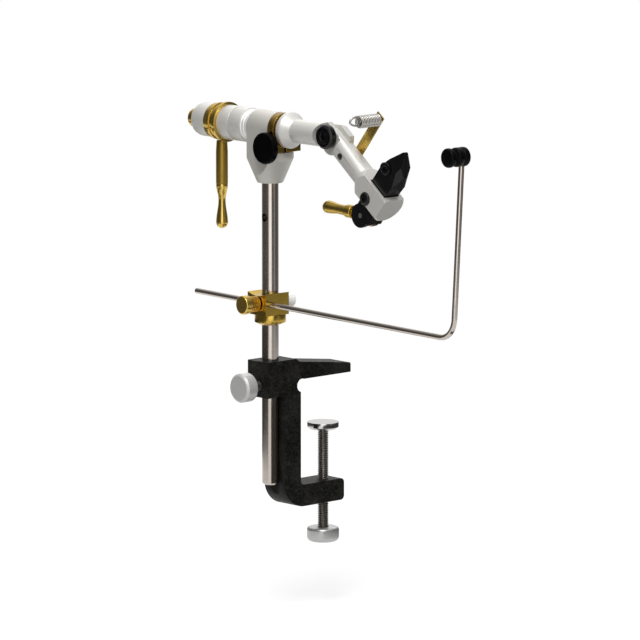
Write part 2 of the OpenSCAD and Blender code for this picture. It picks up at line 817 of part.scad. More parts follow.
module crank_grip() {
  length = crank_r + handle_top - sleeve_l - fit;
  color("gold") on_axis() translate([0, handle_back, handle_top - sleeve_l - fit]) difference() {
    mirror([0, 0, 1]) grip(sleeve_d / 2, crank_neck_d / 2, sleeve_d / 2, length);
    translate([0, 0, -pin_in_grip - fit]) cylinder(r = crank_pin_r + fit / 2, h = pin_in_grip + over);
  }
}

module tail_cap() {
  r = rear_d / 2;
  dome = 1.8;
  step = 0.2;
  color("silver") along_axis(cap_back) difference() {
    rotate_extrude() polygon([[0, 0], [r - step, 0], [r - step, tail_l * 0.7],
      [r - dome * half, tail_l * 0.9], [r - dome, tail_l], [0, tail_l]]);
    translate([0, 0, -over]) cylinder(r = spindle_r + fit, h = over + tail_l / 2 + fit);
    translate([0, 0, -over]) cylinder(r = tail_stud_r + fit, h = tail_l + 2 * over);
  }
}

module tail_stud() {
  color("goldenrod") along_axis(cap_back - tail_l / 4)
    cylinder(r = tail_stud_r, h = tail_l * 1.25 + tail_knob_l / 2);
}

module tail_knob() {
  neck = 1.4;
  color("goldenrod") along_axis(tail_back + touch) difference() {
    union() {
      cylinder(r = tail_knob_d / 2 - neck, h = tail_knob_l * half);
      translate([0, 0, tail_knob_l * 0.4]) round_disc(tail_knob_d / 2, tail_knob_l * 0.6, chamfer);
    }
    translate([0, 0, -over]) cylinder(r = tail_stud_r + fit, h = over + tail_knob_l / 2);
  }
}

// Knuckle: the knob's stud holds the arm's ear against the spindle's tongue
knuckle_x = -ear_t - touch;

module on_knuckle() {
  on_axis() translate([0, -knuckle_front, 0]) children();
}

module knuckle_stud() {
  reach = tongue_t - chamfer;
  color("silver") on_knuckle() translate([knuckle_x - knuckle_knob_t / 2, 0, 0]) along_x()
    cylinder(r = stud_r, h = reach - knuckle_x + knuckle_knob_t / 2);
}

module knuckle_knob() {
  r = knuckle_knob_d / 2;
  crown = 1.2;
  color("black") on_knuckle() translate([knuckle_x, 0, 0]) rotate([0, -90, 0]) difference() {
    union() {
      cylinder(r = r, h = knuckle_knob_t - crown);
      translate([0, 0, knuckle_knob_t - crown - fit]) cylinder(r1 = r, r2 = r - crown, h = crown + fit);
    }
    translate([0, 0, -over]) cylinder(r = stud_r + fit, h = over + knuckle_knob_t / 2 + fit);
  }
}

// Arm with the jaw block in one piece
arm_r = arm_d / 2;
lap_r = 13.4;
ear_r = 8;
ear_top = 5.8;
bulge_r = 7.2;
bulge_y = -1.2;
bulge_z = 3.5;
flat_cut_r = 9.6;
block_r = jaw_block_d / 2;
block_flat = 7.4;
block_top = 6.5;
block_end = arm_l + jaw_block_l;
jaw_mid = arm_l + jaw_in_block;
slot_gap = 0.5;
clip_z = 15.5;
clip_hole_r = 1.9;
clip_y = -0.3;
pivot_y = -3.4;
pivot_off = 2.4;
pivot_z = jaw_mid - pivot_off;
pivot_screw_r = 3.2;

module jaw_arm() {
  shoulder = 4.2;
  edge = 1;
  color("silver") on_arm() difference() {
    union() {
      cylinder(r = arm_r, h = arm_l);
      plate_x(-ear_t, ear_t) ear_outline();
      translate([0, 0, arm_l - shoulder]) cylinder(r1 = arm_r - fit, r2 = block_r, h = shoulder + edge);
      translate([0, 0, arm_l + edge]) cylinder(r = block_r, h = jaw_block_l - 2 * edge);
      translate([0, 0, block_end - edge]) cylinder(r1 = block_r, r2 = block_r - edge, h = edge);
    }
    // far half cut away for the spindle's tongue
    translate([-lap, 0, 0]) along_x() cylinder(r = lap_r, h = arm_d);
    // near flat under the knuckle's knob
    translate([-ear_t - arm_r, 0, 0]) along_x() cylinder(r = flat_cut_r, h = arm_r);
    // hole for the knuckle's stud
    translate([-arm_d, 0, 0]) along_x() cylinder(r = stud_r + fit, h = 2 * arm_d);
    // cross hole of the clip's screw
    translate([-arm_d, clip_y, clip_z]) along_x() cylinder(r = clip_hole_r, h = 2 * arm_d);
    // flats on the jaw block
    translate([-block_flat - block_r, -block_r - over, arm_l - shoulder - over])
      cube([block_r, 2 * block_r + 2 * over, 2 * jaw_block_l]);
    translate([-block_r - over, block_top, arm_l - shoulder - over])
      cube([2 * block_r + 2 * over, block_r, 2 * jaw_block_l]);
    // slot that the jaws stand in
    translate([-jaw_t / 2 - slot_gap, -block_r - over, jaw_mid - jaw_w / 2 - slot_gap])
      cube([jaw_t + 2 * slot_gap, 2 * block_r + 2 * over, jaw_w + 2 * slot_gap]);
    // threads of the two pivot screws
    translate([-block_r - over, pivot_y, pivot_z]) along_x()
      cylinder(r = pivot_screw_r + thread_fit, h = 2 * block_r + 2 * over);
  }
}

// Outline of the ear, in the arm's Y and Z
module ear_outline() {
  difference() {
    union() {
      circle(r = ear_r);
      translate([bulge_y, bulge_z]) circle(r = bulge_r);
    }
    translate([ear_top, -2 * ear_r]) square([2 * ear_r, 4 * ear_r]);
  }
}

// Jaws, one on each side of the arm's middle plane
jaw_seam = 0.15;
lug_gap = 3;
jaw_relief = 0.6;
relief_y = -2;
cam_pin_r = 1.5;
cam_pin_gap = 0.5;
jaw_tip_share = 0.98;
adjust_y = 19.7;
adjust_off = 2.2;
adjust_z = jaw_mid - adjust_off;
adjust_r = 3.6;
adjust_head = 1.3;
adjust_shank_r = 1.5;
jaw_spring_y = 12;
jaw_spring_r = 1.9;
jaw_pocket = 2.5;
cam_off = 1.2;
cam_z = jaw_mid - cam_off;

// Outline of a jaw, in the arm's Y and Z; heights are shares of the tip's height, places along
// the arm are shares of the jaw's width
module jaw_outline() {
  back = jaw_mid - jaw_w / 2;
  front = jaw_mid + jaw_w / 2;
  h = jaw_tip_h;
  w = jaw_w;
  polygon([[-cam_drop, back], [h * 0.5, back + w * 0.03], [h * 0.69, back + w * 0.148],
    [h * 0.99, back + w * 0.437], [h, back + w * 0.481], [h * 0.99, back + w * 0.548],
    [h * 0.66, front + w * 0.119], [h * 0.58, front + w * 0.104], [h * 0.2, front], [-cam_drop, front]]);
  translate([h * 0.56, back + w * 0.23]) circle(r = w * 0.244);
}

module jaw_solid(side) {
  tip_half = 1.4;
  half_t = jaw_t / 2;
  h = jaw_tip_h;
  w = jaw_w;
  // corners of the two bevels: on the flat side, then on the thin edge
  back_point = [-half_t, h * 0.757, jaw_mid - w * 0.156];
  mid_point = [-half_t, h * 0.695, jaw_mid + w * 0.356];
  low_point = [-half_t, h * 0.353, jaw_mid + w * 0.607];
  tip_point = [-tip_half, h * 0.994, jaw_mid - w * 0.015];
  edge_point = [-tip_half, h * 0.653, jaw_mid + w * 0.622];
  mirror([side > 0 ? 1 : 0, 0, 0]) difference() {
    plate_x(-half_t, half_t - jaw_seam) difference() {
      union() {
        jaw_outline();
        translate([-cam_drop, cam_z]) circle(r = lug_r);
      }
      translate([-cam_drop - lug_r - over, cam_z - 2 * lug_r]) difference() {
        square([lug_r + over, 4 * lug_r]);
        translate([lug_r + over, 2 * lug_r]) circle(r = lug_r);
      }
      translate([-cam_drop, cam_z]) circle(r = cam_pin_r + cam_pin_gap);
    }
    // room for the cam's hub
    plate_x(-lug_gap, lug_gap) translate([-cam_drop, cam_z]) circle(r = lug_r + air);
    plate_x(-lug_gap, lug_gap) translate([-cam_drop - 2 * lug_r, cam_z - 2 * lug_r])
      square([2 * lug_r, 4 * lug_r]);
    // relief below the hinge line, so that the jaws can rock
    plate_x(-jaw_relief, jaw_relief) translate([relief_y - 2 * cam_drop, 0])
      square([2 * cam_drop, 2 * jaw_mid]);
    // bevels to the tip and to the front edge
    beyond(back_point, tip_point, mid_point);
    beyond(mid_point, edge_point, low_point);
    // pocket of the spring between the jaws
    translate([-jaw_seam - jaw_pocket, jaw_spring_y, jaw_mid]) along_x()
      cylinder(r = jaw_spring_r + air, h = jaw_t);
  }
}

// Everything on the outer side of the plane through three points
module beyond(a, b, c) {
  size = 4 * jaw_tip_h;
  n = unit(cross(c - a, b - a));
  translate(a) rotate([0, acos(n[2]), atan2(n[1], n[0])]) translate([-size / 2, -size / 2, 0])
    cube([size, size, size]);
}

module jaw_near() {
  color("dimgray") on_arm() difference() {
    jaw_solid(-1);
    translate([-jaw_t, adjust_y, adjust_z]) along_x() cylinder(r = adjust_shank_r + thread_fit, h = jaw_t);
  }
}

module jaw_far() {
  color("dimgray") on_arm() jaw_solid(1);
}

module jaw_pivot_screws() {
  hex_r = 1.6;
  near_sunk = 0.4;
  far_sunk = 1.2;
  start = jaw_t / 2 + air;
  near_l = block_flat - start - near_sunk;
  far_l = block_r - start - far_sunk;
  color("black") on_arm() for (side = [-1, 1])
    translate([side * start, pivot_y, pivot_z]) rotate([0, side * 90, 0]) difference() {
      cylinder(r = pivot_screw_r, h = side < 0 ? near_l : far_l);
      translate([0, 0, (side < 0 ? near_l : far_l) * half]) cylinder(r = hex_r, h = block_r, $fn = 6);
    }
}

module jaw_adjust_screw() {
  color("black") on_arm() translate([-jaw_t / 2 - adjust_head, adjust_y, adjust_z]) along_x() {
    cylinder(r1 = adjust_r - chamfer, r2 = adjust_r, h = chamfer);
    translate([0, 0, chamfer]) cylinder(r = adjust_r, h = adjust_head - chamfer);
    cylinder(r = adjust_shank_r, h = adjust_head + jaw_t / 2 - 2 * jaw_seam);
  }
}

module jaw_spring() {
  wall = 0.7;
  spring_l = 2 * (jaw_seam + jaw_pocket - air);
  color("gray") on_arm() translate([-spring_l / 2, jaw_spring_y, jaw_mid]) along_x()
    ring(jaw_spring_r, jaw_spring_r - wall, spring_l);
}

// Cam lever on its pin between the lugs
hub_half = 2.3;
hub_r = 6.5;
lever_tilt = 2.5;
lever_start = 10.4;
lever_waist_r = 2.8;
tenon_r = 2.1;
tenon_l = 2;

module on_cam() {
  on_arm() translate([0, -cam_drop, cam_z]) rotate([lever_tilt - 90 - arm_droop, 0, 0]) children();
}

module cam_pin() {
  pin_l = jaw_t - 2 * air;
  color("silver") on_cam() translate([-pin_l / 2, 0, 0]) along_x() cylinder(r = cam_pin_r, h = pin_l);
}

module cam_hub() {
  color("goldenrod") on_cam() difference() {
    union() {
      translate([-hub_half, 0, 0]) along_x() cylinder(r = hub_r, h = 2 * hub_half);
      rotate([-90, 0, 0]) cylinder(r = tenon_r, h = lever_start + tenon_l);
    }
    translate([-hub_half - over, 0, 0]) along_x() cylinder(r = cam_pin_r + fit, h = 2 * hub_half + 2 * over);
  }
}

module cam_handle() {
  r = lever_d / 2;
  collar_l = 5;
  ridge = 0.1;
  color("goldenrod") on_cam() translate([0, lever_start, 0]) rotate([-90, 0, 0]) difference() {
    union() {
      round_disc(r + ridge, collar_l, chamfer);
      translate([0, 0, collar_l - chamfer])
        grip(r - chamfer, lever_waist_r, r, lever_l - lever_start - collar_l + chamfer);
    }
    translate([0, 0, -over]) cylinder(r = tenon_r + fit, h = over + tenon_l + fit);
  }
}

// Material clip: strip on the arm's far side, screw and spring
strip_x = 6.9;
coil_r = spring_d / 2 - wire_r;
coil_gap = 0.45;
pitch = wire_d + coil_gap;
spring_drop = 3.1;
spring_y = strip_h - spring_drop;
spring_off = 0.4;
spring_z = clip_z + spring_off;
wire_air = 0.2;
clip_screw_r = 1.5;
rings_per_curl = 8;
wire_sides = 6;
coil_start = strip_x - air - wire_r;

module clip_strip() {
  color("goldenrod") on_arm() difference() {
    plate_x(strip_x, strip_t) {
      translate([clip_y, clip_z]) circle(d = strip_w);
      translate([clip_y, clip_z - strip_w / 2]) square([strip_h - clip_y, strip_w]);
    }
    translate([0, clip_y, clip_z]) along_x() cylinder(r = clip_screw_r + touch, h = 2 * arm_d);
    translate([0, spring_y - coil_r, spring_z]) along_x() cylinder(r = wire_r + wire_air, h = 2 * arm_d);
  }
}

module clip_screw() {
  head_r = 2.8;
  head_t = 1.4;
  shank = 8.5;
  color("silver") on_arm() translate([strip_x + strip_t, clip_y, clip_z]) along_x() {
    cylinder(r1 = head_r, r2 = head_r - chamfer, h = head_t);
    translate([0, 0, -shank]) cylinder(r = clip_screw_r, h = shank + head_t / 2);
  }
}

// Middle line of the wire: a straight end, the curls, then an open hook that ends straight
start_w = -90;
last_steps = 5;
coil_steps = spring_curls * rings_per_curl + last_steps;
hook_lead = 0.6;
hook_reach = 4.4;
hook_share = 0.66;
hook_back = 1.6;
hook_steps = 10;
hook_turn = 165;
end_w = start_w + 360 * coil_steps / rings_per_curl;
coil_end = coil_start - pitch * coil_steps / rings_per_curl;

function on_coil(x, up, back) = [x, spring_y + up * sin(end_w) + back * sin(end_w + 90),
  spring_z + up * cos(end_w) + back * cos(end_w + 90)];
function hook_point(w, lead) = on_coil(coil_end - lead - hook_reach * sin(w),
  coil_r * cos(w) * (w < 90 ? 1 : hook_share), hook_back * sin(w));

hook_path = [for (i = [1:hook_steps]) let (w = hook_turn * i / hook_steps)
  hook_point(w, hook_lead * min(1, w / 45))];
hook_end = hook_path[hook_steps - 1];
spring_path = concat(
  [for (i = [2, 1]) [coil_start + i * wire_d, spring_y - coil_r, spring_z]],
  [for (i = [1:coil_steps]) let (w = start_w + 360 * i / rings_per_curl)
    [coil_start - pitch * i / rings_per_curl, spring_y + coil_r * sin(w), spring_z + coil_r * cos(w)]],
  hook_path, [hook_end + wire_d * unit(hook_end - hook_path[hook_steps - 2])]);

function unit(v) = v / norm(v);
function tangent(p, i) = unit(p[min(i + 1, len(p) - 1)] - p[max(i - 1, 0)]);
// Carries a normal along the path without twist
function normals(p) = [for (i = 0, n = unit(cross(tangent(p, 0), [0, 0, 1])); i < len(p);
  i = i + 1, n = i < len(p) ? unit(n - (n * tangent(p, i)) * tangent(p, i)) : n) n];

module wire_tube(p, r, sides) {
  ns = normals(p);
  count = len(p);
  points = [for (i = [0:count - 1]) let (t = tangent(p, i), n = ns[i], b = cross(t, n))
    for (k = [0:sides - 1]) p[i] + r * (cos(360 * k / sides) * n + sin(360 * k / sides) * b)];
  faces = concat(
    [for (i = [0:count - 2]) for (k = [0:sides - 1]) let (a = i * sides + k, c = i * sides + (k + 1) % sides)
      [a, c, c + sides]],
    [for (i = [0:count - 2]) for (k = [0:sides - 1]) let (a = i * sides + k, c = i * sides + (k + 1) % sides)
      [a, c + sides, a + sides]],
    [for (k = [1:sides - 2]) [0, k + 1, k]],
    [for (k = [1:sides - 2]) let (e = (count - 1) * sides) [e, e + k, e + k + 1]]);
  polyhedron(points = points, faces = faces, convexity = 10);
}

// Least clear distance between stretches of wire more than half a curl apart
function wire_gap(p) = min([for (i = [0:len(p) - 1]) for (j = [i + rings_per_curl / 2 + 1:1:len(p) - 1])
  norm(p[i] - p[j])]) - wire_d;

module clip_spring() {
  echo("least gap of the clip spring to itself", wire_gap(spring_path));
  color("gainsboro") on_arm() wire_tube(spring_path, wire_r, wire_sides);
}

clamp_frame();
clamp_screw();
clamp_knob();
clamp_pad();
pad_retainer();
stem_lock_stud();
stem_lock_knob();
stem();
cradle_collar();
collar_set_screw();
cradle_block();
cradle_stud();
cradle_knob();
nylon_stud();
nylon_knob();
cradle_rod();
bobbin_rest();
head_block();
head_set_screw();
front_bush();
rear_bush();
brake_block();
brake_stud();
brake_knob();
spindle();
polished_ring();
rear_collar();
rear_set_screw();
crank_ring();
crank_pin();
crank_sleeve();
crank_grip();
tail_cap();
tail_stud();
tail_knob();
knuckle_stud();
knuckle_knob();
jaw_arm();
jaw_near();
jaw_far();
jaw_pivot_screws();
jaw_adjust_screw();
jaw_spring();
cam_pin();
cam_hub();
cam_handle();
clip_strip();
clip_screw();
clip_spring();
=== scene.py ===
"""Finishes and fine shapes of a rotary fly tying vise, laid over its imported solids.

Lengths are in millimetres and become metres as meshes are made, but for the camera, the floor
and the light, which are set in metres. Angles are in degrees.
"""

import math

import bmesh
import bpy
from mathutils import Matrix, Vector


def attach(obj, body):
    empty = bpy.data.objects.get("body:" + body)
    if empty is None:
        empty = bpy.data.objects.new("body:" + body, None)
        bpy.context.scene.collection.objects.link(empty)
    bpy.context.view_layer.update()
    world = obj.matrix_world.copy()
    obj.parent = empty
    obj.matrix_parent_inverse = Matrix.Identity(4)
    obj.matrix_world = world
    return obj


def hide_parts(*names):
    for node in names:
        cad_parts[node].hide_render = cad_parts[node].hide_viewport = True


MM = 0.001
CAMERA_AT = (-2.297115, -2.460814, 0.563478)
CAMERA_LOOKS_AT = (-0.020151, -0.019069, 0.034686)
CAMERA_LENS = 337.5

# Main axes of the vise
STEM_X = -40.6
AXIS_Z = 143.9
STEM_HOLE_Z = 93.4
KNUCKLE_Y = -51.7
ARM_DROOP = 38.6
HANDLE_Y, HANDLE_Z = 40.378, 100
LOCK_Z = -1.7
CRADLE_Z = 45.15
CRADLE_YAW = -4.0
REST_Y, REST_Z = -174, 145.7
CAM_LEVER_TILT = 2.5

# Radii of the two bare holes, whose insides get painted shade
STEM_HOLE_R = 2.32
CLIP_HOLE_R = 1.92

# Heights off the arm's axis and lengths out along it
CLIP_UP, CLIP_OUT = -0.3, 15.5
CAM_UP, CAM_OUT = -15.5, 46.8
PIVOT_UP, PIVOT_OUT = -3.4, 45.6
ADJUST_UP, ADJUST_OUT = 19.7, 45.8
JAW_SPRING_UP, JAW_SPRING_OUT = 12, 48

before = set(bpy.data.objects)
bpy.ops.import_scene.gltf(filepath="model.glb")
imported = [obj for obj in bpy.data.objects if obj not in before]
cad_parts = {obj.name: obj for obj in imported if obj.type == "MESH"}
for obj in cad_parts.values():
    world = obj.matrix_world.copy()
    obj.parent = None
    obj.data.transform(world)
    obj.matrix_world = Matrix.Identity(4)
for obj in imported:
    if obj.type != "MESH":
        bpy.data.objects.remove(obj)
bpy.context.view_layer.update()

# Camera
camera = bpy.data.objects.new("camera", bpy.data.cameras.new("camera"))
camera.data.lens = CAMERA_LENS
camera.data.sensor_width = 36
camera.data.clip_end = 50
camera.location = CAMERA_AT
away = Vector(CAMERA_LOOKS_AT) - Vector(CAMERA_AT)
camera.rotation_euler = away.to_track_quat("-Z", "Y").to_euler()
bpy.context.scene.collection.objects.link(camera)
bpy.context.scene.camera = camera
bpy.context.scene.view_settings.view_transform = "Standard"


# Places


def shift(x, y, z):
    return Matrix.Translation((x, y, z))


def turn_about(axis, degrees):
    return Matrix.Rotation(math.radians(degrees), 4, axis)


def facing_x(sign=1):
    """Z turned to point along +X, or -X."""
    return turn_about("Y", 90 * sign)


CLAMP = Matrix.Identity(4)
STEM = shift(STEM_X, 0, 0)
LOCK = shift(STEM_X, 0, LOCK_Z)
CRADLE = STEM @ turn_about("Z", CRADLE_YAW)
HANDLE = shift(STEM_X, HANDLE_Y, HANDLE_Z)

# Z runs back along the rotary axis, towards the crank
ROTARY = shift(STEM_X, 0, AXIS_Z) @ turn_about("X", -90)

# X as on the vise, Y up off the arm, Z out along the arm
ARM = shift(STEM_X, KNUCKLE_Y, AXIS_Z) @ turn_about("X", 90 + ARM_DROOP)
CAM = ARM @ shift(0, CAM_UP, CAM_OUT) @ turn_about("X", CAM_LEVER_TILT - 90 - ARM_DROOP)

# Axes that lathe rings and holes run round
ALONG_X = shift(STEM_X, 0, AXIS_Z) @ facing_x()
LEVER_AXIS = CAM @ turn_about("X", -90)
ROD_AXIS = CRADLE @ turn_about("X", 90)
THUMB_AXIS = CRADLE @ shift(0, 0, CRADLE_Z) @ facing_x()
REST_AXIS = CRADLE @ shift(0, REST_Y, REST_Z) @ facing_x()
STEM_HOLE = shift(STEM_X, 0, STEM_HOLE_Z) @ facing_x()
CLIP_HOLE = ARM @ shift(0, CLIP_UP, CLIP_OUT) @ facing_x()


# Shader graph

WHITE = (1, 1, 1)
# Painted shade: the near black laid inside holes, where shade falls
HOLE_PAINTED_SHADE = (0.012, 0.011, 0.01)
SEEN_BY = ("Is Camera Ray", "Is Glossy Ray", "Is Transmission Ray")


class Socket:
    """A shader socket that Python's operators work on."""

    def __init__(self, graph, link):
        self.graph = graph
        self.link = link

    def _math(self, operation, first, second):
        return self.graph.node("ShaderNodeMath", {"operation": operation}, {0: first, 1: second})

    def __add__(self, other):
        return self._math("ADD", self, other)

    def __sub__(self, other):
        return self._math("SUBTRACT", self, other)

    def __rsub__(self, other):
        return self._math("SUBTRACT", other, self)

    def __mul__(self, other):
        return self._math("MULTIPLY", self, other)

    __radd__ = __add__
    __rmul__ = __mul__


class Graph:
    """The nodes of a material or of the world."""

    def __init__(self, tree):
        self.tree = tree
        tree.nodes.clear()

    def node(self, kind, settings=None, values=None, output=0):
        """Adds a node: its settings come first, then its sockets. A closing node has no output."""
        made = self.tree.nodes.new(kind)
        for key, value in (settings or {}).items():
            if key == "stops":
                self._set_stops(made.color_ramp, value)
            else:
                setattr(made, key, value)
        for key, value in (values or {}).items():
            if isinstance(value, Socket):
                self.tree.links.new(value.link, made.inputs[key])
            else:
                made.inputs[key].default_value = value
        return None if output is None else Socket(self, made.outputs[output])

    @staticmethod
    def _set_stops(ramp, stops):
        while len(ramp.elements) < len(stops):
            ramp.elements.new(1.0)
        for element, (place, level) in zip(ramp.elements, stops):
            element.position = place
            element.color = (level, level, level, 1)

    def steps(self, value, stops):
        """A level that runs through stops of place and level."""
        return self.node("ShaderNodeValToRGB", {"stops": stops}, {0: value})

    def blend(self, share, low, high):
        """A colour between two, by share; each is a colour or a socket."""
        ends = [end if isinstance(end, Socket) else (*end, 1) for end in (low, high)]
        values = {0: share, 6: ends[0], 7: ends[1]}
        return self.node("ShaderNodeMix", {"data_type": "RGBA"}, values, output=2)

    def vector(self, operation, first, second=None, output=0):
        values = {0: first} if second is None else {0: first, 1: second}
        return self.node("ShaderNodeVectorMath", {"operation": operation}, values, output)

    def seen(self):
        """1 for rays from the eye, straight or by way of metal or glass."""
        rays = [self.node("ShaderNodeLightPath", output=name) for name in SEEN_BY]
        seen = rays[0]
        for ray in rays[1:]:
            seen = self.node("ShaderNodeMath", {"operation": "MAXIMUM"}, {0: seen, 1: ray})
        return seen


class Finish(Graph):
    """One material and its graph."""

    def __init__(self, name):
        self.material = bpy.data.materials.new(name)
        self.material.use_nodes = True
        super().__init__(self.material.node_tree)
        self.coords = self.node("ShaderNodeTexCoord", output="Object")

    def noise(self, size, detail, rough, vector=None):
        """Cloudy values with features of that many millimetres."""
        values = {"Vector": vector or self.coords, "Scale": 1 / (size * MM), "Detail": detail,
                  "Roughness": rough}
        return self.node("ShaderNodeTexNoise", {}, values)

    def from_place(self, place):
        """The offset of a surface point from a place, and the place's Z axis."""
        offset = self.vector("SUBTRACT", self.coords, tuple(part * MM for part in place.translation))
        return offset, tuple(place.to_3x3() @ Vector((0, 0, 1)))

    def distance_from_axis(self, place):
        cross = self.vector("CROSS_PRODUCT", *self.from_place(place))
        return self.vector("LENGTH", cross, output="Value")

    def paint_shade_in_holes(self, colour, holes):
        """Paints shade inside holes, each given as its axis and its radius."""
        for axis, radius in holes:
            share = self.distance_from_axis(axis) * (1 / (2 * radius * MM))
            # Painted shade: near black within the hole's radius of its axis
            inside = self.steps(share, [(0.48, 1.0), (0.53, 0.0)])
            colour = self.blend(inside, colour, HOLE_PAINTED_SHADE)
        return colour

    def turning_lines(self, place, size):
        """Fine lines left by a lathe: rings round an axis, on its sides and on its faces."""
        axial = self.vector("DOT_PRODUCT", *self.from_place(place), output="Value")
        flat = self.node("ShaderNodeCombineXYZ", {}, {0: axial, 1: self.distance_from_axis(place)})
        return self.noise(size, detail=4.0, rough=0.65, vector=flat)

    def bump(self, height, depth, strength):
        values = {"Strength": strength, "Distance": depth * MM, "Height": height}
        return self.node("ShaderNodeBump", {}, values)

    def surface(self, **values):
        named = {key.replace("_", " "): value for key, value in values.items()}
        return self.node("ShaderNodeBsdfPrincipled", {}, named)

    def close(self, shader):
        self.node("ShaderNodeOutputMaterial", {}, {"Surface": shader}, output=None)
        return self.material


# Finishes


def darker(tone, share):
    return tuple(level * share for level in tone)


def cast_black(name):
    """Black crackle paint on an iron casting, rubbed a little brighter here and there."""
    paint = Finish(name)
    speckle = paint.noise(size=0.8, detail=3.0, rough=0.55)
    grain = paint.steps(speckle, [(0.44, 0.0), (0.54, 0.3), (0.62, 1.0)])
    lumps = paint.noise(size=2.6, detail=3.0, rough=0.5)
    rub = paint.steps(paint.noise(size=14.0, detail=4.0, rough=0.6), [(0.45, 0.0), (0.75, 1.0)])
    colour = paint.blend(rub * 0.5 + grain * 0.4, (0.0035, 0.0034, 0.003), (0.042, 0.041, 0.037))
    normal = paint.bump(grain * 0.6 + lumps * 0.4, depth=0.16, strength=0.9)
    rough = 0.44 - rub * 0.08 + grain * 0.1
    return paint.close(paint.surface(Base_Color=colour, Roughness=rough, Normal=normal,
                                     Specular_IOR_Level=0.1))


def turned_silver(name, place, tone=(0.62, 0.605, 0.57), rough=0.4, metallic=0.45, holes=()):
    """Bead-blasted and lightly turned silver metal under a clear anodised skin, with painted shade inside
    the holes given.
    """
    metal = Finish(name)
    lines = metal.turning_lines(place, 0.35)
    blast = metal.noise(size=0.16, detail=4.0, rough=0.6)
    cloud = metal.steps(metal.noise(size=9.0, detail=3.0, rough=0.55), [(0.3, 0.0), (0.7, 1.0)])
    colour = metal.blend(cloud * 0.5 + lines * 0.5, tone, darker(tone, 0.93))
    normal = metal.bump(lines * 0.6 + blast * 0.4, depth=0.012, strength=0.5)
    return metal.close(metal.surface(
        Base_Color=metal.paint_shade_in_holes(colour, holes), Metallic=metallic,
        Roughness=rough + cloud * 0.05 + lines * 0.05, Normal=normal))


def polished_steel(name, place, tone=(0.62, 0.61, 0.6), rough=0.14):
    """Bright steel with hair-fine rings."""
    metal = Finish(name)
    lines = metal.turning_lines(place, 0.2)
    haze = metal.noise(size=5.0, detail=4.0, rough=0.6)
    colour = metal.blend(lines * 0.5 + haze * 0.3, tone, darker(tone, 0.82))
    return metal.close(metal.surface(
        Base_Color=colour, Metallic=1.0, Roughness=rough + haze * 0.1,
        Normal=metal.bump(lines, depth=0.008, strength=0.4)))


def ground_stainless(name, place, holes=()):
    """Centreless-ground bar: dark, with fine rings and faint handling marks, and painted shade inside the
    holes given.
    """
    metal = Finish(name)
    tone = (0.54, 0.485, 0.435)
    lines = metal.turning_lines(place, 0.25)
    marks = metal.steps(metal.noise(size=6.0, detail=5.0, rough=0.7), [(0.45, 0.0), (0.8, 1.0)])
    colour = metal.blend(lines * 0.5 + marks * 0.3, tone, darker(tone, 0.8))
    return metal.close(metal.surface(
        Base_Color=metal.paint_shade_in_holes(colour, holes), Metallic=1.0,
        Roughness=0.13 + marks * 0.06 + lines * 0.03,
        Normal=metal.bump(lines, depth=0.004, strength=0.3)))


def turned_brass(name, place, rough=0.16, tone=(0.69, 0.475, 0.11)):
    """Polished brass with lathe rings and a slight brown tarnish."""
    metal = Finish(name)
    lines = metal.turning_lines(place, 0.3)
    tarnish = metal.steps(metal.noise(size=6.5, detail=2.0, rough=0.4), [(0.25, 0.0), (0.85, 1.0)])
    colour = metal.blend(tarnish * 0.45 + lines * 0.3, tone, darker(tone, 0.78))
    return metal.close(metal.surface(
        Base_Color=colour, Metallic=1.0, Roughness=rough + tarnish * 0.07 + lines * 0.03,
        Normal=metal.bump(lines, depth=0.005, strength=0.25)))


def gloss_black(name, place, sheen=0.03):
    """Moulded glossy black with faint swirl marks."""
    plastic = Finish(name)
    swirl = plastic.turning_lines(place, 0.4)
    smear = plastic.noise(size=6.0, detail=4.0, rough=0.6)
    colour = plastic.blend(smear, (0.0008, 0.0008, 0.0009), (0.003, 0.003, 0.0033))
    return plastic.close(plastic.surface(
        Base_Color=colour, Roughness=0.1 + smear * 0.1, Specular_IOR_Level=sheen,
        Normal=plastic.bump(swirl, depth=0.006, strength=0.3)))


def satin_black_steel(name):
    """Hardened steel under a black finish, worn faintly grey."""
    oxide = Finish(name)
    grain = oxide.noise(size=0.3, detail=5.0, rough=0.6)
    worn = oxide.steps(oxide.noise(size=5.0, detail=5.0, rough=0.65), [(0.5, 0.0), (0.8, 1.0)])
    colour = oxide.blend(worn * 0.6 + grain * 0.3, (0.001, 0.001, 0.0012), (0.007, 0.007, 0.008))
    return oxide.close(oxide.surface(
        Base_Color=colour, Roughness=0.2 + grain * 0.1, Specular_IOR_Level=0.3,
        Normal=oxide.bump(grain, depth=0.012, strength=0.5)))


def natural_nylon(name):
    """White nylon, a little uneven and waxy."""
    nylon = Finish(name)
    cloud = nylon.noise(size=3.0, detail=3.0, rough=0.5)
    ripple = nylon.noise(size=0.5, detail=4.0, rough=0.6)
    return nylon.close(nylon.surface(
        Base_Color=nylon.blend(cloud, (0.94, 0.94, 0.92), (0.88, 0.88, 0.86)),
        Roughness=0.36 + cloud * 0.12, Subsurface_Weight=0.25,
        Normal=nylon.bump(ripple, depth=0.02, strength=0.4)))


def black_rubber(name, place):
    """Smooth black rubber with soft turning marks."""
    rubber = Finish(name)
    lines = rubber.turning_lines(place, 0.5)
    dust = rubber.steps(rubber.noise(size=2.2, detail=5.0, rough=0.7), [(0.52, 0.0), (0.8, 1.0)])
    colour = rubber.blend(dust, (0.002, 0.002, 0.0023), (0.009, 0.009, 0.01))
    return rubber.close(rubber.surface(
        Base_Color=colour, Roughness=0.26 + dust * 0.2, Specular_IOR_Level=0.06,
        Normal=rubber.bump(lines, depth=0.02, strength=0.5)))


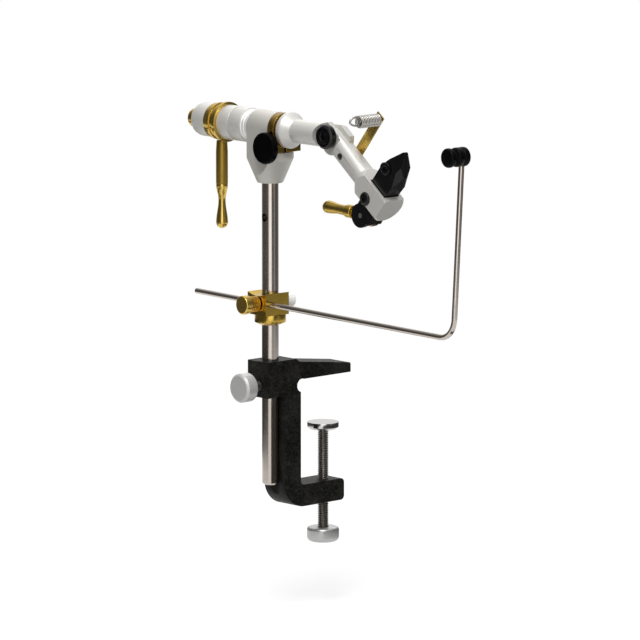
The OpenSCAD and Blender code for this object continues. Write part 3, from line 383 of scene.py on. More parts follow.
CLAMP_SILVER = (0.5, 0.5, 0.495)
LOCK_SILVER = (0.56, 0.555, 0.55)
HEAD_SILVER = (0.565, 0.55, 0.505)
ROTARY_SILVER = (0.64, 0.625, 0.59)
RING_SILVER = (0.84, 0.835, 0.82)
WIRE_SILVER = (0.5, 0.48, 0.45)
THREAD_GREY = (0.27, 0.25, 0.225)
# The lock's thread is near black, far darker than the other steel threads
LOCK_THREAD_GREY = (0.06, 0.058, 0.054)
CRADLE_BRASS = (0.59, 0.395, 0.075)
# Painted dark reflection and shade: the brake ring's brass is a darker copy of the same brass
SHADED_BRAKE_BRASS = (0.42, 0.27, 0.065)
# Painted dark reflection: the crank sleeve's brass is a darker copy of the grip's brass
SHADED_SLEEVE_BRASS = (0.36, 0.225, 0.04)
LEVER_BRASS = (0.58, 0.395, 0.085)

FINISHES = {
    "casting": cast_black("black_casting"),
    "clamp steel": polished_steel("clamp_screw_steel", CLAMP),
    "clamp silver": turned_silver("clamp_knob_silver", CLAMP, CLAMP_SILVER, rough=0.3, metallic=0.75),
    "lock silver": turned_silver("lock_knob_silver", LOCK @ facing_x(), LOCK_SILVER, rough=0.38),
    "thread steel": polished_steel("thread_steel", CLAMP, THREAD_GREY, rough=0.22),
    "lock steel": polished_steel("lock_thread_steel", ALONG_X, LOCK_THREAD_GREY, rough=0.35),
    "stem steel": ground_stainless("stem_stainless", STEM, holes=[(STEM_HOLE, STEM_HOLE_R)]),
    "rod steel": ground_stainless("rod_stainless", ROD_AXIS),
    "small steel": polished_steel("small_screw_steel", ALONG_X),
    "spring steel": turned_silver("spring_wire", ARM @ facing_x(), WIRE_SILVER, rough=0.22, metallic=0.9),
    "stem brass": turned_brass("cradle_brass", STEM, rough=0.17, tone=CRADLE_BRASS),
    "thumb brass": turned_brass("thumb_screw_brass", THUMB_AXIS, rough=0.24),
    "brake brass": turned_brass("brake_brass", ROTARY, rough=0.15, tone=SHADED_BRAKE_BRASS),
    "rotary brass": turned_brass("crank_ring_brass", ROTARY),
    "handle brass": turned_brass("crank_handle_brass", HANDLE),
    "sleeve brass": turned_brass("crank_sleeve_brass", HANDLE, rough=0.34, tone=SHADED_SLEEVE_BRASS),
    "lever brass": turned_brass("cam_lever_brass", LEVER_AXIS, rough=0.18, tone=LEVER_BRASS),
    "strip brass": turned_brass("clip_strip_brass", ARM, rough=0.22),
    "bronze": turned_brass("bush_bronze", ROTARY, rough=0.4),
    "head silver": turned_silver("head_silver", STEM, HEAD_SILVER),
    "rotary silver": turned_silver("rotary_silver", ROTARY, ROTARY_SILVER),
    "arm silver": turned_silver("arm_silver", ARM, holes=[(CLIP_HOLE, CLIP_HOLE_R)]),
    "ring steel": turned_silver("spacer_ring_silver", ROTARY, RING_SILVER, rough=0.3),
    "gloss black": gloss_black("gloss_black_knob", ALONG_X),
    "knuckle black": gloss_black("knuckle_knob_black", ALONG_X, sheen=0.3),
    "jaw black": satin_black_steel("jaw_black"),
    "screw black": satin_black_steel("screw_black"),
    "nylon": natural_nylon("white_nylon"),
    "rubber": black_rubber("rest_rubber", REST_AXIS),
}

NODE_FINISH = {
    "casting": ["clamp_frame"],
    "clamp steel": ["clamp_screw", "clamp_pad", "pad_retainer"],
    "clamp silver": ["clamp_knob"],
    "lock silver": ["stem_lock_knob"],
    "stem steel": ["stem"],
    "rod steel": ["cradle_rod"],
    "small steel": ["stem_lock_stud", "brake_stud", "crank_pin", "knuckle_stud", "cam_pin", "clip_screw"],
    "spring steel": ["clip_spring", "jaw_spring"],
    "stem brass": ["cradle_collar", "cradle_block"],
    "thumb brass": ["cradle_stud", "cradle_knob"],
    "rotary brass": ["crank_ring", "tail_stud", "tail_knob"],
    "brake brass": ["brake_block"],
    "handle brass": ["crank_sleeve", "crank_grip"],
    "lever brass": ["cam_hub", "cam_handle"],
    "strip brass": ["clip_strip"],
    "bronze": ["front_bush", "rear_bush"],
    "head silver": ["head_block"],
    "rotary silver": ["spindle", "rear_collar", "tail_cap"],
    "arm silver": ["jaw_arm"],
    "ring steel": ["polished_ring"],
    "gloss black": ["brake_knob"],
    "knuckle black": ["knuckle_knob"],
    "jaw black": ["jaw_near", "jaw_far"],
    "screw black": ["collar_set_screw", "head_set_screw", "rear_set_screw", "jaw_pivot_screws",
                    "jaw_adjust_screw"],
    "nylon": ["nylon_stud", "nylon_knob"],
    "rubber": ["bobbin_rest"],
}
for finish, nodes in NODE_FINISH.items():
    for node in nodes:
        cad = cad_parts[node]
        cad.data.materials.clear()
        cad.data.materials.append(FINISHES[finish])


# Mesh work


def add_piece(name, mesh_work, finish, body, node):
    """Makes the object of a finished bmesh, laid over the solid that it stands for."""
    bmesh.ops.recalc_face_normals(mesh_work, faces=mesh_work.faces)
    mesh = bpy.data.meshes.new(name)
    mesh_work.to_mesh(mesh)
    mesh_work.free()
    mesh.shade_smooth()
    mesh.set_sharp_from_angle(angle=math.radians(38))
    mesh.materials.append(FINISHES[finish])
    piece = bpy.data.objects.new(name, mesh)
    bpy.context.scene.collection.objects.link(piece)
    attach(piece, body)
    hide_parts(node)


def add_loops(mesh_work, loops):
    """Skins closed loops of as many points each, and closes both ends."""
    rows = [[mesh_work.verts.new(point) for point in loop] for loop in loops]
    count = len(rows[0])
    for low, high in zip(rows, rows[1:]):
        for i in range(count):
            j = (i + 1) % count
            mesh_work.faces.new((low[i], low[j], high[j], high[i]))
    mesh_work.faces.new(rows[0])
    mesh_work.faces.new(rows[-1])


def turned(outline, place, segments=64):
    """A body turned from (height, radius) pairs; a radius may also be a function of the angle."""
    loops = []
    for height, radius in outline:
        loop = []
        for i in range(segments):
            angle = math.tau * i / segments
            reach = radius(angle) if callable(radius) else radius
            point = Vector((reach * math.cos(angle), reach * math.sin(angle), height))
            loop.append(place @ point * MM)
        loops.append(loop)
    work = bmesh.new()
    add_loops(work, loops)
    return work


def swept(path, radius, sides):
    """A round wire of a radius in millimetres, along points in metres."""
    points = [Vector(point) for point in path]
    last = len(points) - 1
    ahead = [(points[min(i + 1, last)] - points[max(i - 1, 0)]).normalized() for i in range(last + 1)]
    turns = [math.tau * i / sides for i in range(sides)]
    side = ahead[0].orthogonal().normalized()
    loops = []
    for point, along in zip(points, ahead):
        side = (side - along * side.dot(along)).normalized()
        other = along.cross(side)
        loops.append([point + (side * math.cos(turn) + other * math.sin(turn)) * radius * MM
                      for turn in turns])
    work = bmesh.new()
    add_loops(work, loops)
    return work


def joined(*works):
    """One bmesh of several."""
    mesh = bpy.data.meshes.new("joining")
    whole = bmesh.new()
    for work in works:
        bmesh.ops.recalc_face_normals(work, faces=work.faces)
        work.to_mesh(mesh)
        whole.from_mesh(mesh)
        work.free()
    bpy.data.meshes.remove(mesh)
    return whole


def arc(centre_z, centre_r, radius, start, end, steps=6):
    """Outline points on an arc; degrees run from straight out, 0, to straight up, 90."""
    points = []
    for i in range(steps + 1):
        turn = math.radians(start + (end - start) * i / steps)
        points.append((centre_z + radius * math.sin(turn), centre_r + radius * math.cos(turn)))
    return points


def hexagon(across):
    """Radius, by the angle, of a hexagon with that distance across its flats."""
    sector = math.pi / 3

    def at(angle):
        return across / 2 / math.cos((angle + sector / 2) % sector - sector / 2)
    return at


def height_range(node):
    """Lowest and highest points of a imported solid."""
    heights = [corner[2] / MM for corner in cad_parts[node].bound_box]
    return min(heights), max(heights)


# Radius of the small flat that closes a turned end
CLOSE_R = 0.3


# Clamp screw and stem lock

THREAD_PITCH = 1.27
THREAD_DEPTH = 0.62


def thread_outline(low, high, radius):
    """A screw thread with pointed starts, as outline rings."""
    steps_per_turn = 10
    start_depth = 0.2
    slope, flat = 1.3, 0.12
    count = round((high - low) / THREAD_PITCH * steps_per_turn)

    def ring(height):
        from_end = min(height - low, high - height)
        crest = min(radius, radius - THREAD_DEPTH + start_depth + from_end)

        def at(angle):
            phase = (height / THREAD_PITCH - angle / math.tau) % 1
            tooth = min(1, max(0, abs(2 * phase - 1) * slope - flat))
            return min(crest, radius - THREAD_DEPTH * tooth)
        return at

    heights = [low + (high - low) * i / count for i in range(count + 1)]
    return [(height, ring(height)) for height in heights]


def make_clamp_screw():
    """Threaded rod, with the neck and ball that the pad tilts on."""
    low, high, thread_r = -96.6, -32.7, 3.175
    neck_r, neck_top = 1.8, -30.9
    ball_r, ball_foot_r, ball_l, edge = 2.6, 2.3, 0.2, 0.5
    outline = thread_outline(low, high, thread_r)
    outline += [(high, neck_r), (neck_top, neck_r), (neck_top, ball_foot_r)]
    outline += arc(neck_top + edge, ball_r - edge, edge, -90, 0)
    outline += arc(neck_top + edge + ball_l, ball_r - edge, edge, 0, 90)
    add_piece("clamp_screw_thread", turned(outline, CLAMP, 40), "thread steel", "clamp_screw",
              "clamp_screw")


def make_clamp_knob():
    """Silver knob with a well rounded foot."""
    low, high = height_range("clamp_knob")
    knob_r, top_edge, foot_edge, foot_step = 9.2, 1.7, 2.6, 1.2
    bore_r, bore_l, bore_tip = 3.3, 2.0, 0.2
    outline = [(low, CLOSE_R), (low, knob_r - foot_edge - foot_step)]
    outline += arc(low + foot_edge, knob_r - foot_edge, foot_edge, -80, 0, 8)
    outline += arc(high - top_edge, knob_r - top_edge, top_edge, 0, 90, 8)
    outline += [(high, bore_r), (high - bore_l, bore_r), (high - bore_l - bore_tip, CLOSE_R)]
    add_piece("clamp_knob_round", turned(outline, CLAMP, 96), "clamp silver", "clamp_knob",
              "clamp_knob")


def make_lock_stud():
    """Thread of the stem's lock."""
    low, high, thread_r = -21.45, -4.87, 3.1
    outline = thread_outline(low, high, thread_r)
    add_piece("stem_lock_thread", turned(outline, LOCK @ facing_x(), 40), "lock steel", "lock_stud",
              "stem_lock_stud")


def make_lock_knob():
    """Thumb disc of the stem's lock, with a rounded rim and a plain back towards the casting."""
    start, end, disc_r = 16.7, 24.4, 8.2
    bevel, edge, back_edge, dish = 1.1, 0.35, 0.6, 0.1
    bore_r, bore_l = 3.2, 2.0
    outline = [(start + bore_l, CLOSE_R), (start + bore_l, bore_r), (start, bore_r)]
    outline += arc(start + back_edge, disc_r - back_edge, back_edge, -90, 0)
    outline += arc(end - bevel - edge, disc_r - edge, edge, 0, 40, 3)
    outline += arc(end - edge, disc_r - bevel - edge, edge, 50, 90, 3)
    outline += [(end - dish, disc_r / 2), (end - dish, CLOSE_R)]
    add_piece("stem_lock_disc", turned(outline, LOCK @ facing_x(-1), 96), "lock silver", "lock_knob",
              "stem_lock_knob")


# Handles


def grip_outline(foot_r, waist_r, ball_r, length):
    """Foot, waist and ball of a handle in one flowing line."""
    waist_share = 0.42
    tip_r = 0.05
    steps, ball_steps = 40, 12
    ball_z = length - ball_r
    points = []
    for i in range(steps + 1):
        share = i / steps
        if share < waist_share:
            swell = (1 + math.cos(math.pi * share / waist_share)) / 2
            radius = waist_r + (foot_r - waist_r) * swell
        else:
            swell = (1 - math.cos(math.pi * (share - waist_share) / (1 - waist_share))) / 2
            radius = waist_r + (ball_r - waist_r) * swell
        points.append((share * ball_z, radius))
    for i in range(1, ball_steps + 1):
        turn = math.pi / 2 * i / ball_steps
        points.append((ball_z + ball_r * math.sin(turn), max(tip_r, ball_r * math.cos(turn))))
    return points


def make_crank_handle():
    """Brass sleeve of the crank, and the waisted grip under it."""
    sleeve_drop, handle_drop = 10.9, 61.1
    sleeve_l, sleeve_r, neck_r, bore_r, edge = 24.8, 3.4, 3.05, 1.63, 0.35
    neck_share = 0.75
    foot = shift(STEM_X, HANDLE_Y, AXIS_Z - sleeve_drop - sleeve_l)
    sleeve = [(0, bore_r)] + arc(edge, sleeve_r - edge, edge, -90, 0)
    sleeve += [(sleeve_l * neck_share, sleeve_r), (sleeve_l - edge, neck_r)]
    sleeve += arc(sleeve_l - edge, neck_r - edge, edge, 0, 90) + [(sleeve_l, bore_r)]
    add_piece("crank_handle_sleeve", turned(sleeve, foot), "sleeve brass", "crank_handle",
              "crank_sleeve")
    gap, waist_r, grip_edge = 0.03, 2.05, 0.3
    down = foot @ shift(0, 0, -gap) @ turn_about("X", 180)
    grip = arc(grip_edge, sleeve_r - grip_edge, grip_edge, -90, -20, 4)
    grip += grip_outline(sleeve_r, waist_r, sleeve_r, handle_drop - sleeve_drop - sleeve_l - gap)[2:]
    add_piece("crank_handle_grip", turned(grip, down), "handle brass", "crank_handle",
              "crank_grip")


def make_cam_handle():
    """Brass grip of the cam lever, with a round-edged collar at its foot."""
    foot, tip = 10.4, 34
    grip_r, waist_r, collar_r, collar_l, edge = 3.6, 2.8, 3.7, 5.0, 0.6
    collar_seam = 0.7
    place = CAM @ shift(0, foot, 0) @ turn_about("X", -90)
    outline = arc(edge, collar_r - edge, edge, -90, 0)
    outline += arc(collar_l - edge, collar_r - edge, edge, 0, 60)
    grip = grip_outline(grip_r - edge, waist_r, grip_r, tip - foot - collar_l + edge)
    outline += [(collar_l - edge + height, radius) for height, radius in grip if height > collar_seam]
    add_piece("cam_lever_grip", turned(outline, place), "lever brass", "cam_lever", "cam_handle")


# Knobs


def make_brake_knob():
    """Black knob with a fully rounded rim and a shallow dish."""
    place = shift(STEM_X - 10.3, -9.77, AXIS_Z - 9.7) @ facing_x(-1)
    disc_r, disc_t, edge, back_r = 8.9, 4.4, 1.3, 0.4
    rim, rim_drop = 2.4, 0.12
    slope, slope_drop, dish = 4.2, 0.3, 0.34
    outline = [(0, back_r)] + arc(edge, disc_r - edge, edge, -90, 0)
    outline += arc(disc_t - edge, disc_r - edge, edge, 0, 78)
    outline += [(disc_t - rim_drop, disc_r - rim), (disc_t - slope_drop, disc_r - slope)]
    outline += [(disc_t - dish, CLOSE_R)]
    add_piece("brake_knob_disc", turned(outline, place, 72), "gloss black", "brake_knob",
              "brake_knob")


def make_knuckle_knob():
    """Crowned black knob with a ring groove and a hexagon socket."""
    place = shift(STEM_X - 3.7, KNUCKLE_Y, AXIS_Z) @ facing_x(-1)
    knob_r, face, back_r, back_edge = 6.8, 4.2, 0.4, 0.3
    crown, crown_lead, shoulder, face_edge, face_step = 1.2, 0.25, 0.4, 0.45, 0.15
    lip, groove = 0.05, 0.55
    groove_outer, groove_outer_foot, groove_inner_foot, groove_inner, boss = 2.0, 2.25, 2.55, 2.8, 3.1
    mouth, across, mouth_l, socket_l, socket_tip = 4.6, 4.2, 0.2, 1.5, 1.8
    outline = [(0, back_r)] + arc(back_edge, knob_r - back_edge, back_edge, -90, 0, 4)
    outline += [(face - crown - crown_lead, knob_r)]
    outline += arc(face - crown, knob_r - shoulder, shoulder, 0, 45, 4)
    outline += arc(face - face_edge, knob_r - crown - face_step, face_edge, 35, 90, 4)
    outline += [(face - lip, knob_r - groove_outer), (face - groove, knob_r - groove_outer_foot)]
    outline += [(face - groove, knob_r - groove_inner_foot), (face - lip, knob_r - groove_inner)]
    outline += [(face, knob_r - boss), (face, hexagon(mouth)), (face - mouth_l, hexagon(across))]
    outline += [(face - socket_l, hexagon(across)), (face - socket_tip, CLOSE_R)]
    add_piece("knuckle_knob_disc", turned(outline, place, 72), "knuckle black", "knuckle_knob",
              "knuckle_knob")


def make_thumb_knob():
    """Cradle's thumb screw: a domed disc on a shank with three deep grooves."""
    place = CRADLE @ shift(-10.4, 0, CRADLE_Z - 0.1) @ facing_x(-1)
    shank_r, shank_l, shank_edge, shank_lead = 4.5, 5.4, 0.3, 0.2
    bore_r, bore_l = 2.5, 1.5
    grooves, groove, groove_mouth, groove_foot = 3, 0.7, 0.42, 0.28
    step_mouth, step_foot = 0.5, 0.4
    disc_r, disc_l, edge, dome_w, dome = 5.3, 5.0, 0.9, 1.6, 0.02
    root_r = shank_r - groove
    end = shank_l + disc_l
    outline = [(bore_l, CLOSE_R), (bore_l, bore_r), (0, bore_r), (0, shank_r - shank_edge)]
    outline += [(shank_lead, shank_r)]
    for i in range(1, grooves + 1):
        middle = shank_l * i / (grooves + 1)
        outline += [(middle - groove_mouth, shank_r), (middle - groove_foot, root_r)]
        outline += [(middle + groove_foot, root_r), (middle + groove_mouth, shank_r)]
    outline += [(shank_l - step_mouth, shank_r), (shank_l - step_foot, root_r), (shank_l, root_r)]
    outline += arc(shank_l + edge, disc_r - edge, edge, -90, 0)
    outline += arc(end - edge, disc_r - edge, edge, 0, 80)
    outline += [(end - dome, disc_r - dome_w), (end, CLOSE_R)]
    add_piece("cradle_thumb_disc", turned(outline, place, 72), "thumb brass", "cradle_knob",
              "cradle_knob")


def make_bobbin_rest():
    """Rubber spool: two discs with rounded rims and a waist at the upright."""
    rod_foot_y, upright_top, lean = -167.8, 144.7, 3.7
    spool_r, length, flange, waist, neck_r, edge = 5.3, 13.5, 3.4, 1.9, 3.2, 1.3
    neck_rise, neck_lead = 0.7, 0.25
    seam_depth, seam_shoulder = 0.5, 0.18
    seam_shares = [(0.40, 0), (0.44, seam_shoulder), (0.48, seam_depth), (0.52, seam_shoulder), (0.56, 0)]
    hub = length - flange - waist
    upright_y = rod_foot_y - (upright_top - CRADLE_Z) * math.tan(math.radians(lean))
    place = CRADLE @ shift(-4.5, upright_y, REST_Z) @ facing_x(-1)
    outline = [(0, CLOSE_R)] + arc(edge, spool_r - edge, edge, -90, 0)
    outline += [(hub * share, spool_r - depth) for share, depth in seam_shares]
    outline += arc(hub - edge, spool_r - edge, edge, 0, 75)
    outline += [(hub + neck_lead, neck_r + neck_rise), (hub + waist / 2, neck_r)]
    outline += [(hub + waist - neck_lead, neck_r + neck_rise)]
    outline += arc(hub + waist + edge, spool_r - edge, edge, -75, 0)
    outline += arc(length - edge, spool_r - edge, edge, 0, 90) + [(length, CLOSE_R)]
    add_piece("bobbin_rest_spool", turned(outline, place, 72), "rubber", "bobbin_rest",
              "bobbin_rest")


# Springs


def arm_point(x, up, out):
    return ARM @ Vector((x, up, out)) * MM


def make_clip_spring():
    """Close-wound extension spring with an open hook, in round wire."""
    wire_r, lead_step, coil_r, pitch, turns = 0.6, 0.35, 3.0, 1.15, 12.625
    up, out, start, start_angle = 27.0, 15.9, 6.25, -90
    end_angle = start_angle + 360 * turns
    path = [(start + lead_step * i, up - coil_r, out) for i in (4, 3, 2, 1)]
    coil_steps = round(turns * 40)
    for i in range(coil_steps + 1):
        turn = turns * i / coil_steps
        angle = math.radians(start_angle + 360 * turn)
        path.append((start - pitch * turn, up + coil_r * math.sin(angle), out + coil_r * math.cos(angle)))
    hook_bend, hook_l, hook_steps, hook_lead, lead_bend = 165, 4.4, 44, 0.6, 45
    hook_side, return_share = 1.6, 0.66
    coil_end = start - pitch * turns
    rise, back = math.radians(end_angle), math.radians(end_angle + 90)
    for i in range(1, hook_steps + 1):
        bend = hook_bend * i / hook_steps
        sweep = math.radians(bend)
        lead = hook_lead * min(1, bend / lead_bend)
        high = coil_r * math.cos(sweep) * (1 if bend < 90 else return_share)
        aside = hook_side * math.sin(sweep)
        path.append((coil_end - lead - hook_l * math.sin(sweep),
                     up + high * math.sin(rise) + aside * math.sin(back),
                     out + high * math.cos(rise) + aside * math.cos(back)))
    tip = Vector(path[-1])
    path.append(tip + (tip - Vector(path[-2])).normalized() * 2 * lead_step)
    points = [arm_point(*point) for point in path]
    add_piece("clip_spring_wire", swept(points, wire_r, 12), "spring steel", "material_clip",
              "clip_spring")


def make_jaw_spring():
    """Small open spring in the pockets between the jaws."""
    wire_r, coil_r, half_l, turns = 0.3, 1.55, 2.05, 5
    steps = turns * 32
    points = []
    for i in range(steps + 1):
        share = i / steps
        angle = math.tau * turns * share
        points.append(arm_point(-half_l + 2 * half_l * share, JAW_SPRING_UP + coil_r * math.sin(angle),
                                JAW_SPRING_OUT + coil_r * math.cos(angle)))
    add_piece("jaw_spring_wire", swept(points, wire_r, 10), "spring steel", "arm",
              "jaw_spring")


# Small screws


def make_set_screws():
    """Set screws with hexagon sockets, sunk in their holes: place, radius, length and body."""
    side, edge = 4.8, 0.25
    screws = {
        "head_set_screw": (shift(STEM_X + side, 0, 120.1) @ facing_x(), 2.5, 3.1, "head"),
        "collar_set_screw": (shift(STEM_X + side, 0, 35.4) @ facing_x(), 1.5, 3.4, "cradle_collar"),
        "rear_set_screw": (ROTARY @ shift(6.39, 0, 29.91) @ facing_x(), 2.0, 2.8, "spindle"),
    }
    across_share, mouth_share, sink_share = 1.05, 1.12, 0.6
    deepest, mouth_l, tip_l, tip_r = 1.6, 0.15, 0.4, 0.1
    for node, (place, radius, length, body) in screws.items():
        across = radius * across_share
        floor = length - min(deepest, length * sink_share)
        outline = [(0, radius - edge), (edge, radius), (length - edge, radius), (length, radius - edge)]
        outline += [(length, hexagon(across * mouth_share)), (length - mouth_l, hexagon(across))]
        outline += [(floor, hexagon(across)), (floor - tip_l, tip_r)]
        add_piece(node + "_socket", turned(outline, place, 48), "screw black", body, node)


def make_pivot_screws():
    """Button head of the near pivot screw, and the sunk socket of the far one."""
    start, shank_r, socket_r = 5.45, 3.2, 0.2
    flat, head_r, head_t = 7.4, 3.85, 1.5
    dome = [(0.2, 0), (0.75, 0.35), (1.2, 0.95), (head_t, 1.7)]
    mouth, across, mouth_l, socket_z, tip_z = 2.9, 2.6, 0.15, 0.4, 0.1
    near = [(start, CLOSE_R), (start, shank_r), (flat, shank_r), (flat, head_r)]
    near += [(flat + height, head_r - inset) for height, inset in dome]
    near += [(flat + head_t, hexagon(mouth)), (flat + head_t - mouth_l, hexagon(across))]
    near += [(flat + socket_z, hexagon(across)), (flat + tip_z, socket_r)]
    end, edge = 8.6, 0.3
    far_mouth, far_across, far_socket_l, far_tip_l = 3.4, 3.2, 1.6, 1.8
    far = [(start, CLOSE_R), (start, shank_r), (end - edge, shank_r), (end, shank_r - edge)]
    far += [(end, hexagon(far_mouth)), (end - mouth_l, hexagon(far_across))]
    far += [(end - far_socket_l, hexagon(far_across)), (end - far_tip_l, socket_r)]
    place = ARM @ shift(0, PIVOT_UP, PIVOT_OUT)
    work = joined(turned(near, place @ facing_x(-1), 48), turned(far, place @ facing_x(), 48))
    add_piece("jaw_pivot_heads", work, "screw black", "arm", "jaw_pivot_screws")


def make_adjust_screw():
    """Head and shank of the near jaw's adjusting screw."""
    head_r, head_t, shank_r, shank_l = 3.6, 1.3, 1.5, 4.8
    edge, lead, shoulder_z, crown_z, crown, rim = 0.25, 0.2, 0.7, 1.1, 0.2, 0.7
    mouth, across, mouth_l, socket_z, tip_z, tip_r = 3.3, 3.0, 0.1, 0.25, 0.1, 0.2
    outline = [(-shank_l, CLOSE_R), (-shank_l, shank_r), (0, shank_r), (0, head_r - edge)]
    outline += [(lead, head_r), (shoulder_z, head_r), (crown_z, head_r - crown), (head_t, head_r - rim)]
    outline += [(head_t, hexagon(mouth)), (head_t - mouth_l, hexagon(across))]
    outline += [(socket_z, hexagon(across)), (tip_z, tip_r)]
    place = ARM @ shift(-5.15, ADJUST_UP, ADJUST_OUT) @ facing_x(-1)
    add_piece("jaw_adjust_head", turned(outline, place, 48), "screw black", "jaw_near",
              "jaw_adjust_screw")


def make_clip_screw():
    """Round head on the far side of the arm, with a small centre mark."""
    head_r, head_t, shank_r, shank_l = 2.8, 1.4, 1.85, 8.5
    dome = [(0, 0), (0.35, 0), (0.9, 0.35), (1.25, 0.95), (head_t, 1.5)]
    mark_r, mark_foot_r, mark_l, tip_r = 0.8, 0.6, 0.3, 0.2
    outline = [(-shank_l, CLOSE_R), (-shank_l, shank_r), (0, shank_r)]
    outline += [(height, head_r - inset) for height, inset in dome]
    outline += [(head_t, mark_r), (head_t - mark_l, mark_foot_r), (head_t - mark_l, tip_r)]
    place = ARM @ shift(7.6, CLIP_UP, CLIP_OUT) @ facing_x()
    add_piece("clip_screw_head", turned(outline, place, 48), "small steel", "arm",
              "clip_screw")


# Rounded edges on the solids

EDGE_ROUNDS = {
    "clamp_frame": 1.2, "cradle_block": 0.25, "head_block": 0.35, "brake_block": 0.2, "jaw_arm": 0.25,
    "jaw_near": 0.12, "jaw_far": 0.12, "clip_strip": 0.1, "rear_collar": 0.2, "polished_ring": 0.15,
    "crank_ring": 0.2, "cradle_collar": 0.2, "spindle": 0.15, "clamp_pad": 0.3, "tail_cap": 0.3,
}


def soften(node, width):
    """Edge rounds on a node's solid, made by modifiers."""
    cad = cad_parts[node]
    weld = cad.modifiers.new("weld", "WELD")
    weld.merge_threshold = 1e-6
    bevel = cad.modifiers.new("edge rounds", "BEVEL")
    bevel.width = width * MM
    bevel.segments = 3
    bevel.limit_method = "ANGLE"
    bevel.angle_limit = math.radians(32)
    bevel.use_clamp_overlap = True
    bevel.harden_normals = True


make_clamp_screw()
make_lock_stud()
make_crank_handle()
make_cam_handle()
make_brake_knob()
make_knuckle_knob()
make_clamp_knob()
make_lock_knob()
make_thumb_knob()
make_pivot_screws()
make_adjust_screw()
make_clip_screw()
make_bobbin_rest()
make_clip_spring()
make_jaw_spring()
make_set_screws()
for node, width in EDGE_ROUNDS.items():
    soften(node, width)


# Floor and light, in metres

FLOOR_Z = -0.135
FLOOR_SIZE = 12
WORLD_LIGHT = 0.76
LAMPS_POINT_AT = (-0.04, 0, 0.08)

# Share of plain white that the eye gets from the floor by the vise, and where it is all white
FLOOR_GLOW = 0.6
FLOOR_FAR = 1.1

# Light of the studio wall by degrees from the camera, to the viewer's right
WALL_LIGHT = [(-180, 0.5), (-150, 0.4), (-128, 0.07), (-90, 0.05), (-26, 0.06), (-13, 0.9), (12, 1.0),
              (25, 0.06), (46, 0.07), (60, 0.22), (74, 0.06), (125, 0.07), (150, 0.4), (180, 0.5)]
WALL_STRENGTH = 1.8
WALL_R = 0.9
WALL_FOOT = FLOOR_Z + 0.005
WALL_TOP = 2.0
RIGHT_CARD_R = 0.2
LEFT_CARD_R = 0.4
LEFT_CARD_FOOT = FLOOR_Z + 0.02
CARD_TOP = -0.03


def make_floor():
    """Pale floor: plain to the light, and white to the eye outside the soft shadow."""
    mesh = bpy.data.meshes.new("floor")
    corners = [(x * FLOOR_SIZE, y * FLOOR_SIZE, FLOOR_Z) for x, y in ((-1, -1), (1, -1), (1, 1), (-1, 1))]
    mesh.from_pydata(corners, [], [(0, 1, 2, 3)])
    floor = bpy.data.objects.new("floor", mesh)
    bpy.context.scene.collection.objects.link(floor)
    paint = Finish("pale_floor")
    patch = paint.noise(size=400, detail=2.0, rough=0.5)
    seen = paint.seen()
    grey = paint.blend(patch, (0.33, 0.33, 0.33), (0.31, 0.31, 0.31))
    pale = paint.blend(patch, (0.92, 0.92, 0.92), (0.9, 0.9, 0.9))
    plain = paint.surface(Base_Color=paint.blend(seen, grey, pale), Roughness=1.0, Specular_IOR_Level=0.0)
    glow = paint.node("ShaderNodeEmission", {}, {"Color": (*WHITE, 1), "Strength": 1.0})
    distance = paint.vector("LENGTH", paint.coords, output="Value")
    far = paint.steps(distance * (1 / FLOOR_FAR), [(0.25, FLOOR_GLOW), (1.0, 1.0)])
    mesh.materials.append(paint.close(
        paint.node("ShaderNodeMixShader", {}, {0: seen * far, 1: plain, 2: glow})))


def make_world():
    """Even light all round, and plain white where it is seen."""
    world = bpy.data.worlds.new("studio")
    bpy.context.scene.world = world
    world.use_nodes = True
    graph = Graph(world.node_tree)
    lit, shown = [graph.node("ShaderNodeBackground", {}, {"Color": (*WHITE, 1), "Strength": strength})
                  for strength in (WORLD_LIGHT, 1.0)]
    mixed = graph.node("ShaderNodeMixShader", {}, {0: graph.seen(), 1: lit, 2: shown})
    graph.node("ShaderNodeOutputWorld", {}, {"Surface": mixed}, output=None)


def make_lamp(name, at, size, power):
    light = bpy.data.lights.new(name, "AREA")
    light.shape = "RECTANGLE"
    light.size, light.size_y = size
    light.energy = power
    lamp = bpy.data.objects.new(name, light)
    lamp.location = at
    lamp.rotation_euler = (Vector(LAMPS_POINT_AT) - Vector(at)).to_track_quat("-Z", "Y").to_euler()
    bpy.context.scene.collection.objects.link(lamp)


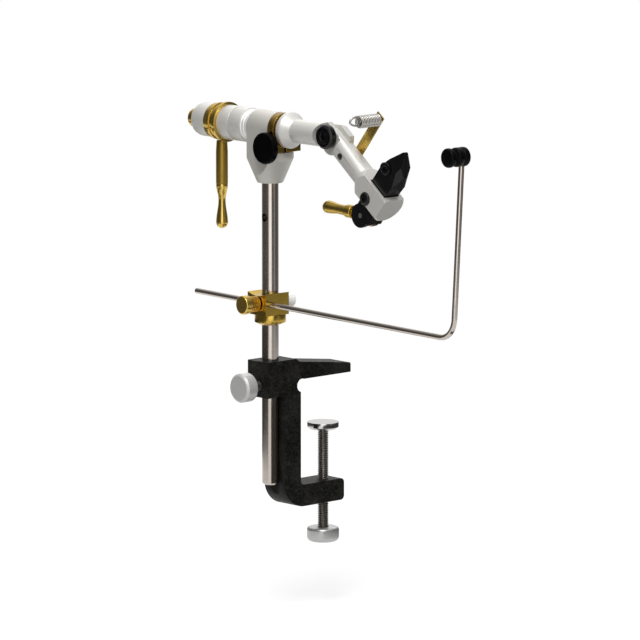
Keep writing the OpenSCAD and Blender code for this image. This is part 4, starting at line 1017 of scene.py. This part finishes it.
def make_reflector(name, radius, start, end, low, high, material):
    """An upright curved wall that only reflections see; degrees run from the camera to the right."""
    steps = round((end - start) / 5)
    points = []
    for i in range(steps + 1):
        turn = math.radians(start + (end - start) * i / steps)
        points += [(radius * math.cos(turn), radius * math.sin(turn), height) for height in (low, high)]
    faces = [(2 * i, 2 * i + 2, 2 * i + 3, 2 * i + 1) for i in range(steps)]
    mesh = bpy.data.meshes.new(name)
    mesh.from_pydata(points, [], faces)
    mesh.materials.append(material)
    wall = bpy.data.objects.new(name, mesh)
    wall.location = (STEM_X * MM, 0, 0)
    wall.rotation_euler = (0, 0, math.atan2(CAMERA_AT[1], CAMERA_AT[0]))
    bpy.context.scene.collection.objects.link(wall)
    wall.visible_camera = False
    wall.visible_diffuse = False
    wall.visible_shadow = False
    wall.visible_transmission = False


def make_studio_wall():
    """Dark studio all round, with soft bright panels, brighter towards its top."""
    cloth = Finish("studio_wall")
    x, y, z = [cloth.node("ShaderNodeSeparateXYZ", {}, {0: cloth.coords}, output=i) for i in range(3)]
    turn = cloth.node("ShaderNodeMath", {"operation": "ARCTAN2"}, {0: y, 1: x})
    stops = [(0.5 + degrees / 360, level) for degrees, level in WALL_LIGHT]
    panels = cloth.steps(turn * (1 / math.tau) + 0.5, stops)
    rise = cloth.steps(z * (1 / WALL_TOP), [(0.25, 0.0), (1.0, 0.5)])
    weave = cloth.blend(cloth.noise(size=200, detail=2.0, rough=0.5), (0.0, 0.0, 0.0), (0.01, 0.01, 0.01))
    material = cloth.close(cloth.surface(
        Base_Color=weave, Roughness=0.9, Specular_IOR_Level=0.0,
        Emission_Color=cloth.blend(rise, panels, WHITE), Emission_Strength=WALL_STRENGTH))
    make_reflector("studio_wall", WALL_R, -180, 180, WALL_FOOT, WALL_TOP, material)


def make_low_cards():
    """Dark cards low on both sides, that the foot of the stem shows."""
    card = Finish("dark_card")
    grain = card.noise(size=200, detail=2.0, rough=0.5)
    material = card.close(card.surface(
        Base_Color=card.blend(grain, (0.07, 0.066, 0.06), (0.09, 0.085, 0.08)),
        Roughness=0.9, Specular_IOR_Level=0.0))
    make_reflector("low_card_right", RIGHT_CARD_R, 8, 150, WALL_FOOT, CARD_TOP, material)
    make_reflector("low_card_left", LEFT_CARD_R, -180, -30, LEFT_CARD_FOOT, CARD_TOP, material)


make_floor()
make_world()
make_studio_wall()
make_low_cards()
make_lamp("key", (-0.8, -0.6, 1.6), (0.5, 0.9), 19)
make_lamp("back", (0.9, 0.9, 1.2), (0.7, 0.7), 8)
